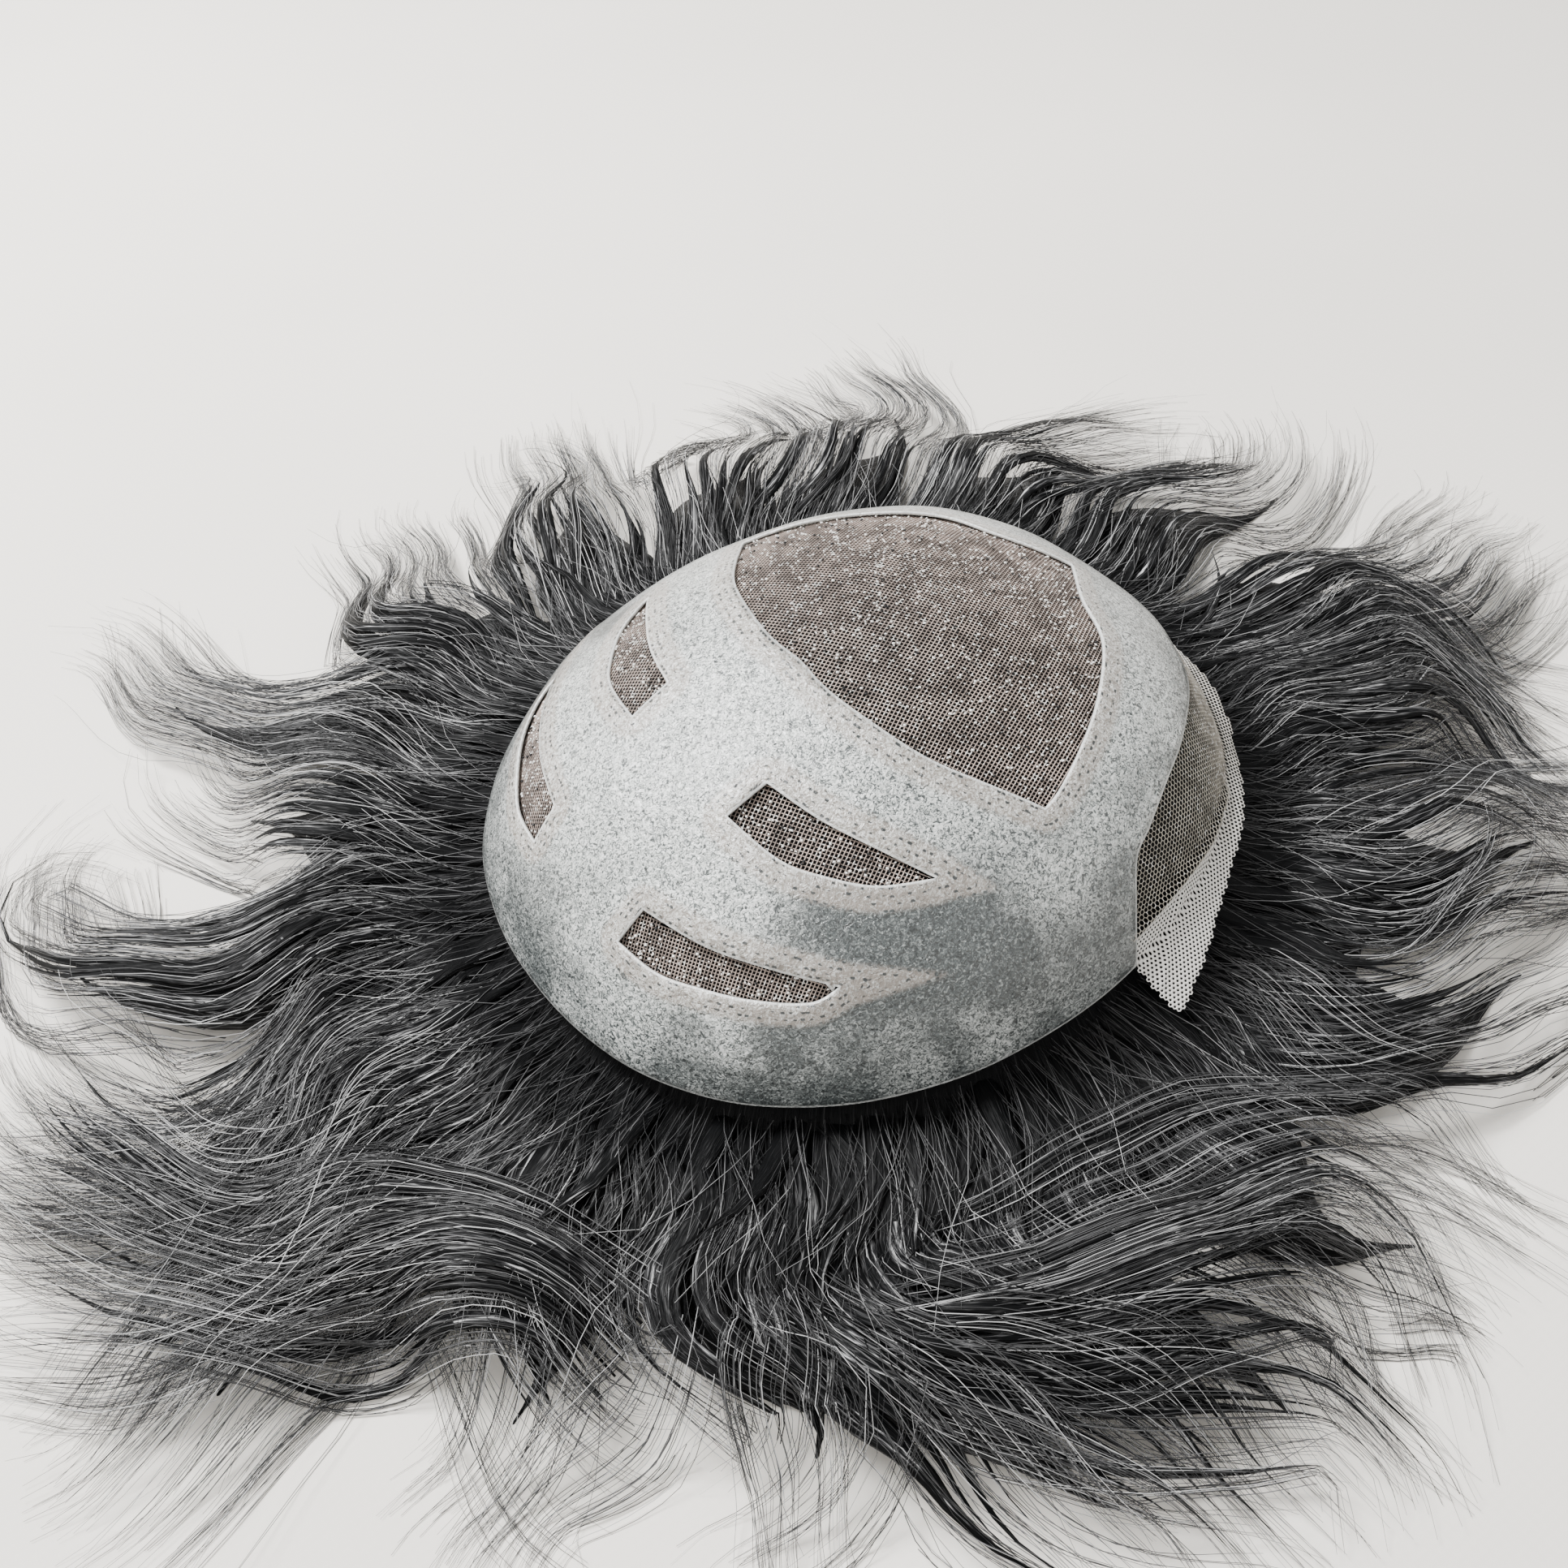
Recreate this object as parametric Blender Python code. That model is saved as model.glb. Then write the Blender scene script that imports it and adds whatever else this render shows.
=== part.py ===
"""Men's hairpiece lying turned inside out: the base's dome on top, the hair spread out from under it.

Metres, +Z up, +X towards the front hairline. The origin is on the table, under the middle of the
whole piece. The base is drawn as a flat pattern in shares of HALF_LENGTH, where 1 is the rim, and
laid on the dome by one function. The locks are swept along plan curves and fused to the hair's body.
"""
import math

import bpy
import numpy as np
from mathutils import Vector
from mathutils.geometry import delaunay_2d_cdt

# Dome of the base
HALF_LENGTH = 0.102
HALF_WIDTH = 0.092
DOME_HEIGHT = 0.057
DOME_SWEEP = math.radians(77.0)
PLAN_POWER = 2.18
FRONT_LIFT = math.radians(3.8)
RIM_HEIGHT = 0.028

# Layers of the base, from the outer face inwards
SKIN_WALL = 0.001
NET_WALL = 0.001
LACE_WALL = 0.001
LAYER_GAP = 0.0003

# How far the sheets run under the skin, and the raw lace past the rim
NET_LAP = 0.006
LACE_LAP = 0.006
LACE_ALLOWANCE = 0.006
FLAP_LENGTH = 0.012
ALLOWANCE_DROP = math.radians(28.0)

# Hair
HAIR_REACH = 0.154
HAIR_LOFT = 0.026
HAIR_LAYER = 0.006
HAIR_TUCK = 0.009
HAIR_SEAT = 0.008
BODY_WIDTH = 0.042
FOOT_WIDTH = 0.022
LOCK_WIDTH = 0.060
LOCK_TILT = 0.10
LOCK_MIDDLE = 0.35
LOCK_ROOT_RUN = 0.6
WAVE_SWING = 0.005
WAVES_A_LOCK = 1.5

# Facets
PATTERN_STEP = 0.07
GRID_MARGIN = 0.4
SHORTEST_MITER = 0.7
RIM_STEPS = 72
BODY_STEPS = 56
COVER_RINGS = (0.1, 0.25, 0.42, 0.6, 0.77, 0.9)
HOLLOW_RINGS = (0.78, 0.7, 0.55, 0.38, 0.2, 0.08)
LOCK_STATIONS = 15
LOCK_SIDES = 10

# Half of the top window: along, across, corner (1 where two sides meet)
TOP_WINDOW = (
    (0.62, 0.00, 1),
    (0.50, 0.14, 0),
    (0.44, 0.26, 0),
    (0.33, 0.37, 0),
    (0.23, 0.45, 0),
    (0.14, 0.51, 0),
    (0.09, 0.53, 1),
    (0.01, 0.41, 0),
    (-0.04, 0.32, 0),
    (-0.07, 0.22, 0),
    (-0.09, 0.10, 0),
    (-0.09, 0.00, 0),
)

# Crescent windows of one side: along, across, corner
CROWN_WINDOW = (
    (-0.28, 0.17, 1),
    (-0.25, 0.30, 0),
    (-0.20, 0.43, 0),
    (-0.16, 0.52, 1),
    (-0.25, 0.46, 0),
    (-0.31, 0.38, 0),
    (-0.35, 0.30, 0),
    (-0.37, 0.17, 1),
)
BACK_WINDOW = (
    (-0.61, 0.18, 1),
    (-0.56, 0.33, 0),
    (-0.49, 0.46, 0),
    (-0.42, 0.57, 1),
    (-0.48, 0.56, 0),
    (-0.56, 0.48, 0),
    (-0.63, 0.38, 0),
    (-0.68, 0.29, 0),
    (-0.70, 0.18, 1),
)

# Half of the skin's front edge, where the lace begins: along, across, corner
SKIN_FRONT = (
    (0.17, 0.985, 1),
    (0.19, 0.85, 0),
    (0.23, 0.73, 0),
    (0.29, 0.68, 0),
    (0.39, 0.60, 0),
    (0.50, 0.53, 0),
    (0.65, 0.42, 0),
    (0.72, 0.34, 0),
    (0.79, 0.18, 0),
    (0.81, 0.00, 0),
)

# Locks: angle and reach at the root's end, half way, near the end and at the tip; width and loft
# Reach is the share of HAIR_REACH past the rim, and the angle runs from the front over the far side
LOCKS = (
    ("front", (357, 0.10), (353, 0.35), (351, 0.72), (355, 1.00), 1.00, 1.00),
    ("front_near", (345, 0.10), (343, 0.36), (346, 0.62), (350, 0.88), 0.85, 0.90),
    ("temple_near_front", (335, 0.08), (339, 0.32), (340, 0.50), (335, 0.68), 0.95, 1.05),
    ("temple_near", (314, 0.06), (316, 0.28), (320, 0.50), (325, 0.76), 1.00, 1.00),
    ("temple_near_low", (288, 0.10), (297, 0.40), (308, 0.50), (317, 0.62), 0.95, 0.85),
    ("side_near_front", (272, 0.18), (274, 0.40), (279, 0.54), (281, 0.68), 0.85, 0.75),
    ("side_near", (252, 0.15), (254, 0.32), (260, 0.50), (265, 0.75), 0.95, 0.90),
    ("side_near_back", (232, 0.15), (235, 0.32), (246, 0.52), (256, 0.70), 1.00, 0.95),
    ("nape_near_front", (218, 0.10), (222, 0.28), (229, 0.42), (225, 0.56), 0.85, 1.00),
    ("nape_near", (196, 0.12), (200, 0.30), (207, 0.44), (216, 0.50), 0.90, 1.05),
    ("nape_near_wisp", (204, 0.12), (208, 0.34), (209, 0.48), (206, 0.64), 0.55, 0.60),
    ("nape_low", (183, 0.12), (186, 0.40), (189, 0.68), (191, 0.92), 0.90, 0.90),
    ("nape", (178, 0.12), (181, 0.45), (186, 0.72), (178, 0.93), 0.85, 0.85),
    ("nape_sweep", (172, 0.12), (177, 0.42), (174, 0.66), (163, 0.80), 0.90, 0.95),
    ("nape_sweep_low", (166, 0.10), (176, 0.36), (177, 0.62), (171, 0.90), 0.70, 0.70),
    ("curl", (156, 0.14), (160, 0.42), (156, 0.74), (147, 0.80), 0.80, 1.05),
    ("side_far_back", (140, 0.10), (143, 0.28), (139, 0.46), (136, 0.62), 0.90, 1.00),
    ("side_far_wisp", (122, 0.14), (128, 0.46), (128, 0.74), (124, 1.00), 0.75, 0.75),
    ("side_far", (110, 0.12), (112, 0.36), (106, 0.56), (100, 0.74), 1.00, 0.95),
    ("side_far_front", (92, 0.10), (90, 0.36), (84, 0.60), (82, 0.86), 0.90, 0.90),
    ("temple_far_low", (74, 0.12), (70, 0.34), (64, 0.54), (66, 0.72), 1.00, 1.00),
    ("temple_far", (56, 0.10), (52, 0.36), (48, 0.62), (50, 0.88), 0.90, 0.90),
    ("temple_far_front", (38, 0.12), (34, 0.36), (28, 0.56), (24, 0.74), 1.00, 1.00),
    ("front_far", (16, 0.10), (14, 0.36), (10, 0.64), (12, 0.90), 0.90, 0.90),
)

# Shape of every lock: way along it, width and loft there
LOCK_SHAPE = (
    (0.00, 0.55, 0.50),
    (0.18, 0.75, 0.62),
    (0.36, 1.00, 0.95),
    (0.52, 1.00, 0.92),
    (0.68, 0.82, 0.62),
    (0.84, 0.55, 0.36),
    (0.94, 0.32, 0.24),
    (1.00, 0.12, 0.15),
)

# Hair's body outside the rim: way across BODY_WIDTH and height as a share of HAIR_LOFT
BODY_TOP = (
    (0.20, 0.56),
    (0.45, 0.66),
    (0.70, 0.62),
    (0.90, 0.42),
    (1.00, 0.10),
)


def dome_face(pattern):
    """Points of the dome's outer face: the way out is the sine and the height the cosine of the sweep.

    The plan is a superellipse. Past the rim the sheet runs straight on, dropping by ALLOWANCE_DROP.
    """
    along, across = pattern[:, 0], pattern[:, 1]
    reach = np.hypot(along, across)
    angle = np.arctan2(across, along)
    on_dome = np.minimum(reach, 1.0)
    past = reach - on_dome
    cosine, sine = np.cos(angle), np.sin(angle)
    fullness = (np.abs(cosine) ** PLAN_POWER + np.abs(sine) ** PLAN_POWER) ** (-1.0 / PLAN_POWER)
    out = np.sin(on_dome * DOME_SWEEP) / math.sin(DOME_SWEEP) + past * math.cos(ALLOWANCE_DROP)
    rise = (np.cos(on_dome * DOME_SWEEP) - math.cos(DOME_SWEEP)) / (1.0 - math.cos(DOME_SWEEP))
    x = HALF_LENGTH * fullness * cosine * out
    y = HALF_WIDTH * fullness * sine * out
    z = DOME_HEIGHT * rise - HALF_LENGTH * past * math.sin(ALLOWANCE_DROP)
    lift_cos, lift_sin = math.cos(FRONT_LIFT), math.sin(FRONT_LIFT)
    return np.column_stack((x * lift_cos - z * lift_sin, y, RIM_HEIGHT + x * lift_sin + z * lift_cos))


def on_dome(pattern, depth):
    """Pattern points laid on the dome, at a depth under its outer face along the normal."""
    pattern = np.asarray(pattern, dtype=float).reshape(-1, 2)
    step = 0.004
    along = dome_face(pattern + (step, 0.0)) - dome_face(pattern - (step, 0.0))
    across = dome_face(pattern + (0.0, step)) - dome_face(pattern - (0.0, step))
    normal = np.cross(along, across)
    normal /= np.linalg.norm(normal, axis=1)[:, None]
    return dome_face(pattern) - depth * normal


def smooth_run(points, steps):
    """A Catmull-Rom curve through the points, with its ends doubled."""
    points = np.asarray(points, dtype=float)
    held = np.vstack((points[0], points, points[-1]))
    ways = np.arange(steps) / steps
    curve = []
    for before, start, end, after in zip(held, held[1:], held[2:], held[3:]):
        for way in ways:
            curve.append(0.5 * (2.0 * start + (end - before) * way
                                + (2.0 * before - 5.0 * start + 4.0 * end - after) * way ** 2
                                + (3.0 * start - before - 3.0 * end + after) * way ** 3))
    curve.append(points[-1])
    return np.array(curve)


def outline(table, steps=2):
    """A closed outline through a table's points, smooth but for its corners."""
    rows = list(table)
    first = next(index for index, row in enumerate(rows) if row[2])
    rows = rows[first:] + rows[:first] + [rows[first]]
    corners = [index for index, row in enumerate(rows) if row[2]]
    runs = []
    for start, end in zip(corners, corners[1:]):
        runs.append(smooth_run([row[:2] for row in rows[start:end + 1]], steps)[:-1])
    return np.vstack(runs)


def both_halves(table):
    """A half outline from the front to the back, with its mirror image across the middle."""
    mirrored = [(along, -across, corner) for along, across, corner in reversed(table) if across]
    return tuple(table) + tuple(mirrored)


def other_side(loop):
    """The mirror image of an outline, on the near side."""
    return loop[::-1] * (1.0, -1.0)


def grown(loop, width):
    """An outline moved outwards by a width, with its sharp corners kept short."""
    share = width / HALF_LENGTH
    ahead = np.roll(loop, -1, axis=0) - loop
    ahead /= np.linalg.norm(ahead, axis=1)[:, None]
    behind = np.roll(ahead, 1, axis=0)
    turn = ahead + behind
    turn /= np.linalg.norm(turn, axis=1)[:, None]
    area = np.sum(loop[:, 0] * np.roll(loop[:, 1], -1) - np.roll(loop[:, 0], -1) * loop[:, 1])
    outwards = np.column_stack((turn[:, 1], -turn[:, 0])) * np.sign(area)
    miter = 1.0 / np.maximum(np.sum(turn * ahead, axis=1), SHORTEST_MITER)
    return loop + outwards * (share * miter)[:, None]


def inside(points, loop):
    """Whether each point lies inside a closed outline, by counting the sides to its right."""
    x, y = points[:, 0][:, None], points[:, 1][:, None]
    start, end = loop, np.roll(loop, -1, axis=0)
    crosses = (start[:, 1] > y) != (end[:, 1] > y)
    rise = np.where(end[:, 1] == start[:, 1], 1.0, end[:, 1] - start[:, 1])
    side = start[:, 0] + (y - start[:, 1]) * (end[:, 0] - start[:, 0]) / rise
    return np.sum(crosses & (x < side), axis=1) % 2 == 1


def near_sides(points, loop):
    """The distance from each point to the nearest side of a closed line."""
    start, run = loop, np.roll(loop, -1, axis=0) - loop
    apart = points[:, None, :] - start[None, :, :]
    way = np.clip(np.sum(apart * run, axis=2) / np.sum(run * run, axis=1), 0.0, 1.0)
    return np.linalg.norm(apart - way[:, :, None] * run, axis=2).min(axis=1)


def pattern_grid():
    """Points on rings PATTERN_STEP apart, over the pattern and a little past its rim."""
    points = [(0.0, 0.0)]
    for ring in range(1, int(1.2 / PATTERN_STEP) + 1):
        count = round(2.0 * math.pi * ring)
        for index in range(count):
            angle = 2.0 * math.pi * (index + 0.5 * (ring % 2)) / count
            reach = ring * PATTERN_STEP
            points.append((reach * math.cos(angle), reach * math.sin(angle)))
    return np.array(points)


def new_object(name, points, faces, colour, roughness, metallic=0.0):
    """An object of its own, with its own material."""
    mesh = bpy.data.meshes.new(name)
    mesh.from_pydata([tuple(point) for point in points], [], faces)
    mesh.validate()
    piece = bpy.data.objects.new(name, mesh)
    bpy.context.scene.collection.objects.link(piece)
    material = bpy.data.materials.new(name)
    material.use_nodes = True
    shader = material.node_tree.nodes["Principled BSDF"]
    shader.inputs["Base Color"].default_value = (*colour, 1.0)
    shader.inputs["Roughness"].default_value = roughness
    shader.inputs["Metallic"].default_value = metallic
    mesh.materials.append(material)
    return piece


def sheet(name, loops, depth, wall, colour, roughness, crease=None):
    """A sheet of even wall on the dome: the first outline of the pattern, less the others.

    A crease is a line across the pattern that no facet crosses.
    """
    edges = []
    start = 0
    for loop in loops:
        count = len(loop)
        edges += [(start + index, start + (index + 1) % count) for index in range(count)]
        start += count
    grid = pattern_grid()
    lines = list(loops)
    for index, loop in enumerate(loops):
        grid = grid[inside(grid, loop) == (index == 0)]
        grid = grid[near_sides(grid, loop) > GRID_MARGIN * PATTERN_STEP]
    if crease is not None:
        lines.append(crease)
        edges += [(start + index, start + index + 1) for index in range(len(crease) - 1)]
        grid = grid[near_sides(grid, crease) > GRID_MARGIN * PATTERN_STEP]
    points = np.vstack((*lines, grid))
    flat, _, triangles, *_ = delaunay_2d_cdt([Vector(point) for point in points], edges, [], 0, 1e-6)
    flat = np.array([tuple(point) for point in flat])
    triangles = np.array(triangles)
    middles = flat[triangles].mean(axis=1)
    kept = inside(middles, loops[0])
    for loop in loops[1:]:
        kept &= ~inside(middles, loop)
    triangles = [tuple(int(corner) for corner in triangle) for triangle in triangles[kept]]

    count = len(flat)
    faces = list(triangles) + [tuple(corner + count for corner in reversed(row)) for row in triangles]
    sides = {(row[i], row[(i + 1) % 3]) for row in triangles for i in range(3)}
    for start, end in sorted(sides):
        if (end, start) not in sides:
            faces.append((end, start, start + count, end + count))
    laid = np.vstack((on_dome(flat, depth), on_dome(flat, depth + wall)))
    piece = new_object(name, laid, faces, colour, roughness)
    piece.data.shade_smooth()
    piece.data.set_sharp_from_angle(angle=math.radians(40.0))
    return piece


def rim_run(start, end, count, reach):
    """Points round the rim from one angle to another, at a reach given for each."""
    angles = np.linspace(start, end, count)
    return np.column_stack((np.cos(angles), np.sin(angles))) * np.broadcast_to(reach, count)[:, None]


def skin_front():
    """The skin's whole front edge, from the near rim round the front to the far rim."""
    half = smooth_run([row[:2] for row in SKIN_FRONT], 2)
    return np.vstack((half * (1.0, -1.0), half[-2::-1]))


def skin_outline():
    """The skin's outline: its front edge, then the rim round the back."""
    front = skin_front()
    start = math.atan2(front[-1, 1], front[-1, 0])
    count = round(RIM_STEPS * (math.pi - start) / math.pi)
    return np.vstack((front[1:-1], rim_run(start, 2.0 * math.pi - start, count, 1.0)))


def lace_outline():
    """The lace's outline, from under the skin's front edge to past the rim, and its crease at the rim.

    A flap of lace hangs past the rim at the near end.
    """
    front = skin_front()
    lap = LACE_LAP / HALF_LENGTH
    tucked = front - front / np.linalg.norm(front, axis=1)[:, None] * lap
    end = math.atan2(front[-1, 1], front[-1, 0])
    count = round(RIM_STEPS * end / math.pi)
    angles = np.linspace(end, -end, count)
    flap = np.clip((-angles - 0.72 * end) / (0.28 * end), 0.0, 1.0) ** 2
    reach = 1.0 + (LACE_ALLOWANCE + (FLAP_LENGTH - LACE_ALLOWANCE) * flap) / HALF_LENGTH
    crease = rim_run(end, -end, count, 1.0)
    edge = rim_run(end, -end, count, reach)
    return np.vstack((tucked, crease[:1], edge, crease[-1:])), crease[1:-1]


def rim_radius(angle):
    """The rim's distance from the dome's middle in plan, at a true angle."""
    cosine, sine = np.abs(np.cos(angle)) / HALF_LENGTH, np.abs(np.sin(angle)) / HALF_WIDTH
    return (cosine ** PLAN_POWER + sine ** PLAN_POWER) ** (-1.0 / PLAN_POWER)


def rim_level(angle):
    """The rim's height over the table, at a true angle."""
    return RIM_HEIGHT + rim_radius(angle) * np.cos(angle) * math.sin(FRONT_LIFT)


def hair_body():
    """The hair's body: a layer under the dome that comes down to a ring on the table."""
    under = SKIN_WALL + NET_WALL + 2.0 * LAYER_GAP
    turns = 2.0 * math.pi * np.arange(BODY_STEPS) / BODY_STEPS
    spokes = np.column_stack((np.cos(turns), np.sin(turns)))
    rings = [on_dome(spokes * reach, under) for reach in COVER_RINGS]
    plan = on_dome(spokes, 0.0)
    angles = np.arctan2(plan[:, 1], plan[:, 0])
    radii, levels = rim_radius(angles), rim_level(angles)

    def ring(radius, height):
        return np.column_stack((radius * np.cos(angles), radius * np.sin(angles), height))

    rings.append(ring(radii - HAIR_SEAT, levels - under))
    rings.append(ring(radii + LACE_ALLOWANCE, levels - HAIR_TUCK))
    for way, loft in BODY_TOP:
        rings.append(ring(radii + way * BODY_WIDTH, loft * HAIR_LOFT * np.ones(BODY_STEPS)))
    cut_off = -HAIR_LAYER * np.ones(BODY_STEPS)
    rings.append(ring(radii + BODY_WIDTH, cut_off))
    rings.append(ring(radii - FOOT_WIDTH, cut_off))
    for reach in HOLLOW_RINGS:
        rings.append(on_dome(spokes * reach, under + HAIR_LAYER * (1.0 + reach ** 2)))

    points = np.vstack(rings + [on_dome((0.0, 0.0), under), on_dome((0.0, 0.0), under + HAIR_LAYER)])
    faces = []
    top, bottom = len(rings) * BODY_STEPS, len(rings) * BODY_STEPS + 1
    last = top - BODY_STEPS
    for step in range(BODY_STEPS):
        following = (step + 1) % BODY_STEPS
        faces.append((top, step, following))
        faces.append((bottom, last + following, last + step))
        for row in range(len(rings) - 1):
            start = row * BODY_STEPS
            faces.append((start + step, start + BODY_STEPS + step,
                          start + BODY_STEPS + following, start + following))
    return points, faces


def lock_path(angles, reaches, phase):
    """A lock's plan curve: smooth through its four places, with the body wave across it."""
    angles = np.radians(angles)
    radii = np.array([rim_radius(angle) + reach * HAIR_REACH for angle, reach in zip(angles, reaches)])
    places = np.column_stack((radii * np.cos(angles), radii * np.sin(angles)))
    root = places[0] - (places[1] - places[0]) * LOCK_ROOT_RUN
    fine = smooth_run(np.vstack((root, places)), 12)
    lengths = np.concatenate(((0.0,), np.cumsum(np.linalg.norm(np.diff(fine, axis=0), axis=1))))
    ways = np.linspace(0.0, 1.0, LOCK_STATIONS)
    path = np.column_stack([np.interp(ways * lengths[-1], lengths, fine[:, axis]) for axis in (0, 1)])
    ahead = np.gradient(path, axis=0)
    ahead /= np.linalg.norm(ahead, axis=1)[:, None]
    aside = np.column_stack((-ahead[:, 1], ahead[:, 0]))
    swing = WAVE_SWING * ways * np.sin(2.0 * math.pi * (WAVES_A_LOCK * ways + phase))
    return ways, path + aside * swing[:, None], aside


def lock_solid(row, number):
    """A lock: flattened ovals along its path, reaching below the table, where they are cut off."""
    name, *places, width, loft = row
    angles, reaches = zip(*places)
    ways, path, aside = lock_path(angles, reaches, 0.37 * number)
    shape = np.array(LOCK_SHAPE)
    widths = LOCK_WIDTH * width * np.interp(ways, shape[:, 0], shape[:, 1])
    lofts = HAIR_LOFT * loft * np.interp(ways, shape[:, 0], shape[:, 2])
    turns = 2.0 * math.pi * np.arange(LOCK_SIDES) / LOCK_SIDES
    across = 0.5 * widths[:, None] * np.cos(turns)
    height = lofts[:, None] * (LOCK_MIDDLE + (1.0 - LOCK_MIDDLE) * np.sin(turns)) + LOCK_TILT * across
    plan = path[:, None, :] + aside[:, None, :] * across[:, :, None]
    rings = np.dstack((plan, height)).reshape(-1, 3)
    ends = path[[0, -1]] + ((0.0, 0.0), 0.35 * (path[-1] - path[-2]))
    points = np.vstack((rings, np.column_stack((ends, LOCK_MIDDLE * lofts[[0, -1]]))))
    faces = []
    first, last = len(rings), (LOCK_STATIONS - 1) * LOCK_SIDES
    for side in range(LOCK_SIDES):
        following = (side + 1) % LOCK_SIDES
        faces.append((first, side, following))
        faces.append((first + 1, last + following, last + side))
        for station in range(LOCK_STATIONS - 1):
            start = station * LOCK_SIDES
            faces.append((start + side, start + LOCK_SIDES + side,
                          start + LOCK_SIDES + following, start + following))
    return points, faces


def guide(name, points, faces):
    """A helper solid for a boolean, which isn't a piece."""
    mesh = bpy.data.meshes.new(name)
    mesh.from_pydata([tuple(point) for point in points], [], faces)
    helper = bpy.data.objects.new(name, mesh)
    bpy.context.scene.collection.objects.link(helper)
    helper.hide_render = True
    helper.display_type = "WIRE"
    return helper


def below_table():
    """A block under the table's surface, larger than the hair."""
    half = 2.0 * (HALF_LENGTH + HAIR_REACH)
    depth = 2.0 * HAIR_LOFT
    corners = [(x * half, y * half, z) for z in (-depth, 0.0) for y in (-1, 1) for x in (-1, 1)]
    faces = [(0, 2, 3, 1), (4, 5, 7, 6), (0, 1, 5, 4), (1, 3, 7, 5), (3, 2, 6, 7), (2, 0, 4, 6)]
    return corners, faces


def build_hair():
    """The hair: its body and all its locks as one solid, with a flat foot on the table."""
    hair = new_object("hair", *hair_body(), (0.012, 0.013, 0.016), 0.45)
    for number, row in enumerate(LOCKS):
        lock = guide("lock_" + row[0], *lock_solid(row, number))
        joined = hair.modifiers.new(row[0], "BOOLEAN")
        joined.operation = "UNION"
        joined.solver = "EXACT"
        joined.object = lock
    table = guide("table_cut", *below_table())
    foot = hair.modifiers.new("foot", "BOOLEAN")
    foot.operation = "DIFFERENCE"
    foot.solver = "EXACT"
    foot.object = table
    return hair


def build_base():
    """The base: the skin with its five windows, a net under each window, and the lace front."""
    top = outline(both_halves(TOP_WINDOW))
    crown_far, back_far = outline(CROWN_WINDOW), outline(BACK_WINDOW)
    windows = {
        "net_top": top,
        "net_crown_far": crown_far,
        "net_crown_near": other_side(crown_far),
        "net_back_far": back_far,
        "net_back_near": other_side(back_far),
    }
    pieces = [sheet("poly_skin", [skin_outline(), *windows.values()], 0.0, SKIN_WALL,
                    (0.42, 0.47, 0.51), 0.35)]
    depth = SKIN_WALL + LAYER_GAP
    for name, loop in windows.items():
        pieces.append(sheet(name, [grown(loop, NET_LAP)], depth, NET_WALL, (0.19, 0.14, 0.13), 0.7))
    lace, crease = lace_outline()
    pieces.append(sheet("lace_front", [lace], depth, LACE_WALL, (0.40, 0.36, 0.30), 0.7, crease))
    return pieces


def stand_on_origin(pieces):
    """Parents every object to an empty that puts the origin under the middle of the pieces."""
    view = bpy.context.evaluated_depsgraph_get()
    corners = np.array([tuple(corner) for piece in pieces for corner in piece.evaluated_get(view).bound_box])
    middle = 0.5 * (corners.min(axis=0) + corners.max(axis=0))
    root = bpy.data.objects.new("hairpiece", None)
    root.location = (-middle[0], -middle[1], 0.0)
    for other in list(bpy.data.objects):
        if other is not root:
            other.parent = root
    bpy.context.scene.collection.objects.link(root)


def main():
    for old in list(bpy.data.objects):
        bpy.data.objects.remove(old, do_unlink=True)
    pieces = build_base() + [build_hair()]
    stand_on_origin(pieces)


main()
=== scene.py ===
import math

import bpy
import numpy as np
from bpy.props import FloatProperty, FloatVectorProperty, IntProperty, PointerProperty
from mathutils import Euler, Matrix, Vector


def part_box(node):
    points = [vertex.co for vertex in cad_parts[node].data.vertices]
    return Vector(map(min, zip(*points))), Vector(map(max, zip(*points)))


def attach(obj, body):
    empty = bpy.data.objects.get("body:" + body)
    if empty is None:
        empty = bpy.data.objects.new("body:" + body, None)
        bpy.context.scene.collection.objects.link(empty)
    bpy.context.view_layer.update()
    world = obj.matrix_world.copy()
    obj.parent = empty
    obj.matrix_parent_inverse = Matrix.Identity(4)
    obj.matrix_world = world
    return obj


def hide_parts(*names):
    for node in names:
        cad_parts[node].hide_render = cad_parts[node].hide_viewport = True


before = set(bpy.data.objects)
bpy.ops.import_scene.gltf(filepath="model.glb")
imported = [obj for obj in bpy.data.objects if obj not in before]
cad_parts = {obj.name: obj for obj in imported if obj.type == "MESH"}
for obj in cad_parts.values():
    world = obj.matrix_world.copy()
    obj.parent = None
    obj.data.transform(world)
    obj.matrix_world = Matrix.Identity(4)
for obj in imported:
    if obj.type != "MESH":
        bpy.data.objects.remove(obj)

bl_info = {
    "name": "Turned-out hairpiece",
    "version": (1, 0, 0),
    "blender": (4, 5, 0),
    "location": "3D View > Sidebar > Hairpiece",
    "description": "Builds a poly and net hairpiece base, dome up, with its hair spread out on a table",
    "category": "Add Mesh",
}

# Half of the top window: along, across, corner (1 where two sides meet), in shares of half_length
TOP_WINDOW = (
    (0.62, 0.00, 1),
    (0.50, 0.14, 0),
    (0.44, 0.26, 0),
    (0.33, 0.37, 0),
    (0.23, 0.45, 0),
    (0.14, 0.51, 0),
    (0.09, 0.53, 1),
    (0.01, 0.41, 0),
    (-0.04, 0.32, 0),
    (-0.07, 0.22, 0),
    (-0.09, 0.10, 0),
    (-0.09, 0.00, 0),
)

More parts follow.
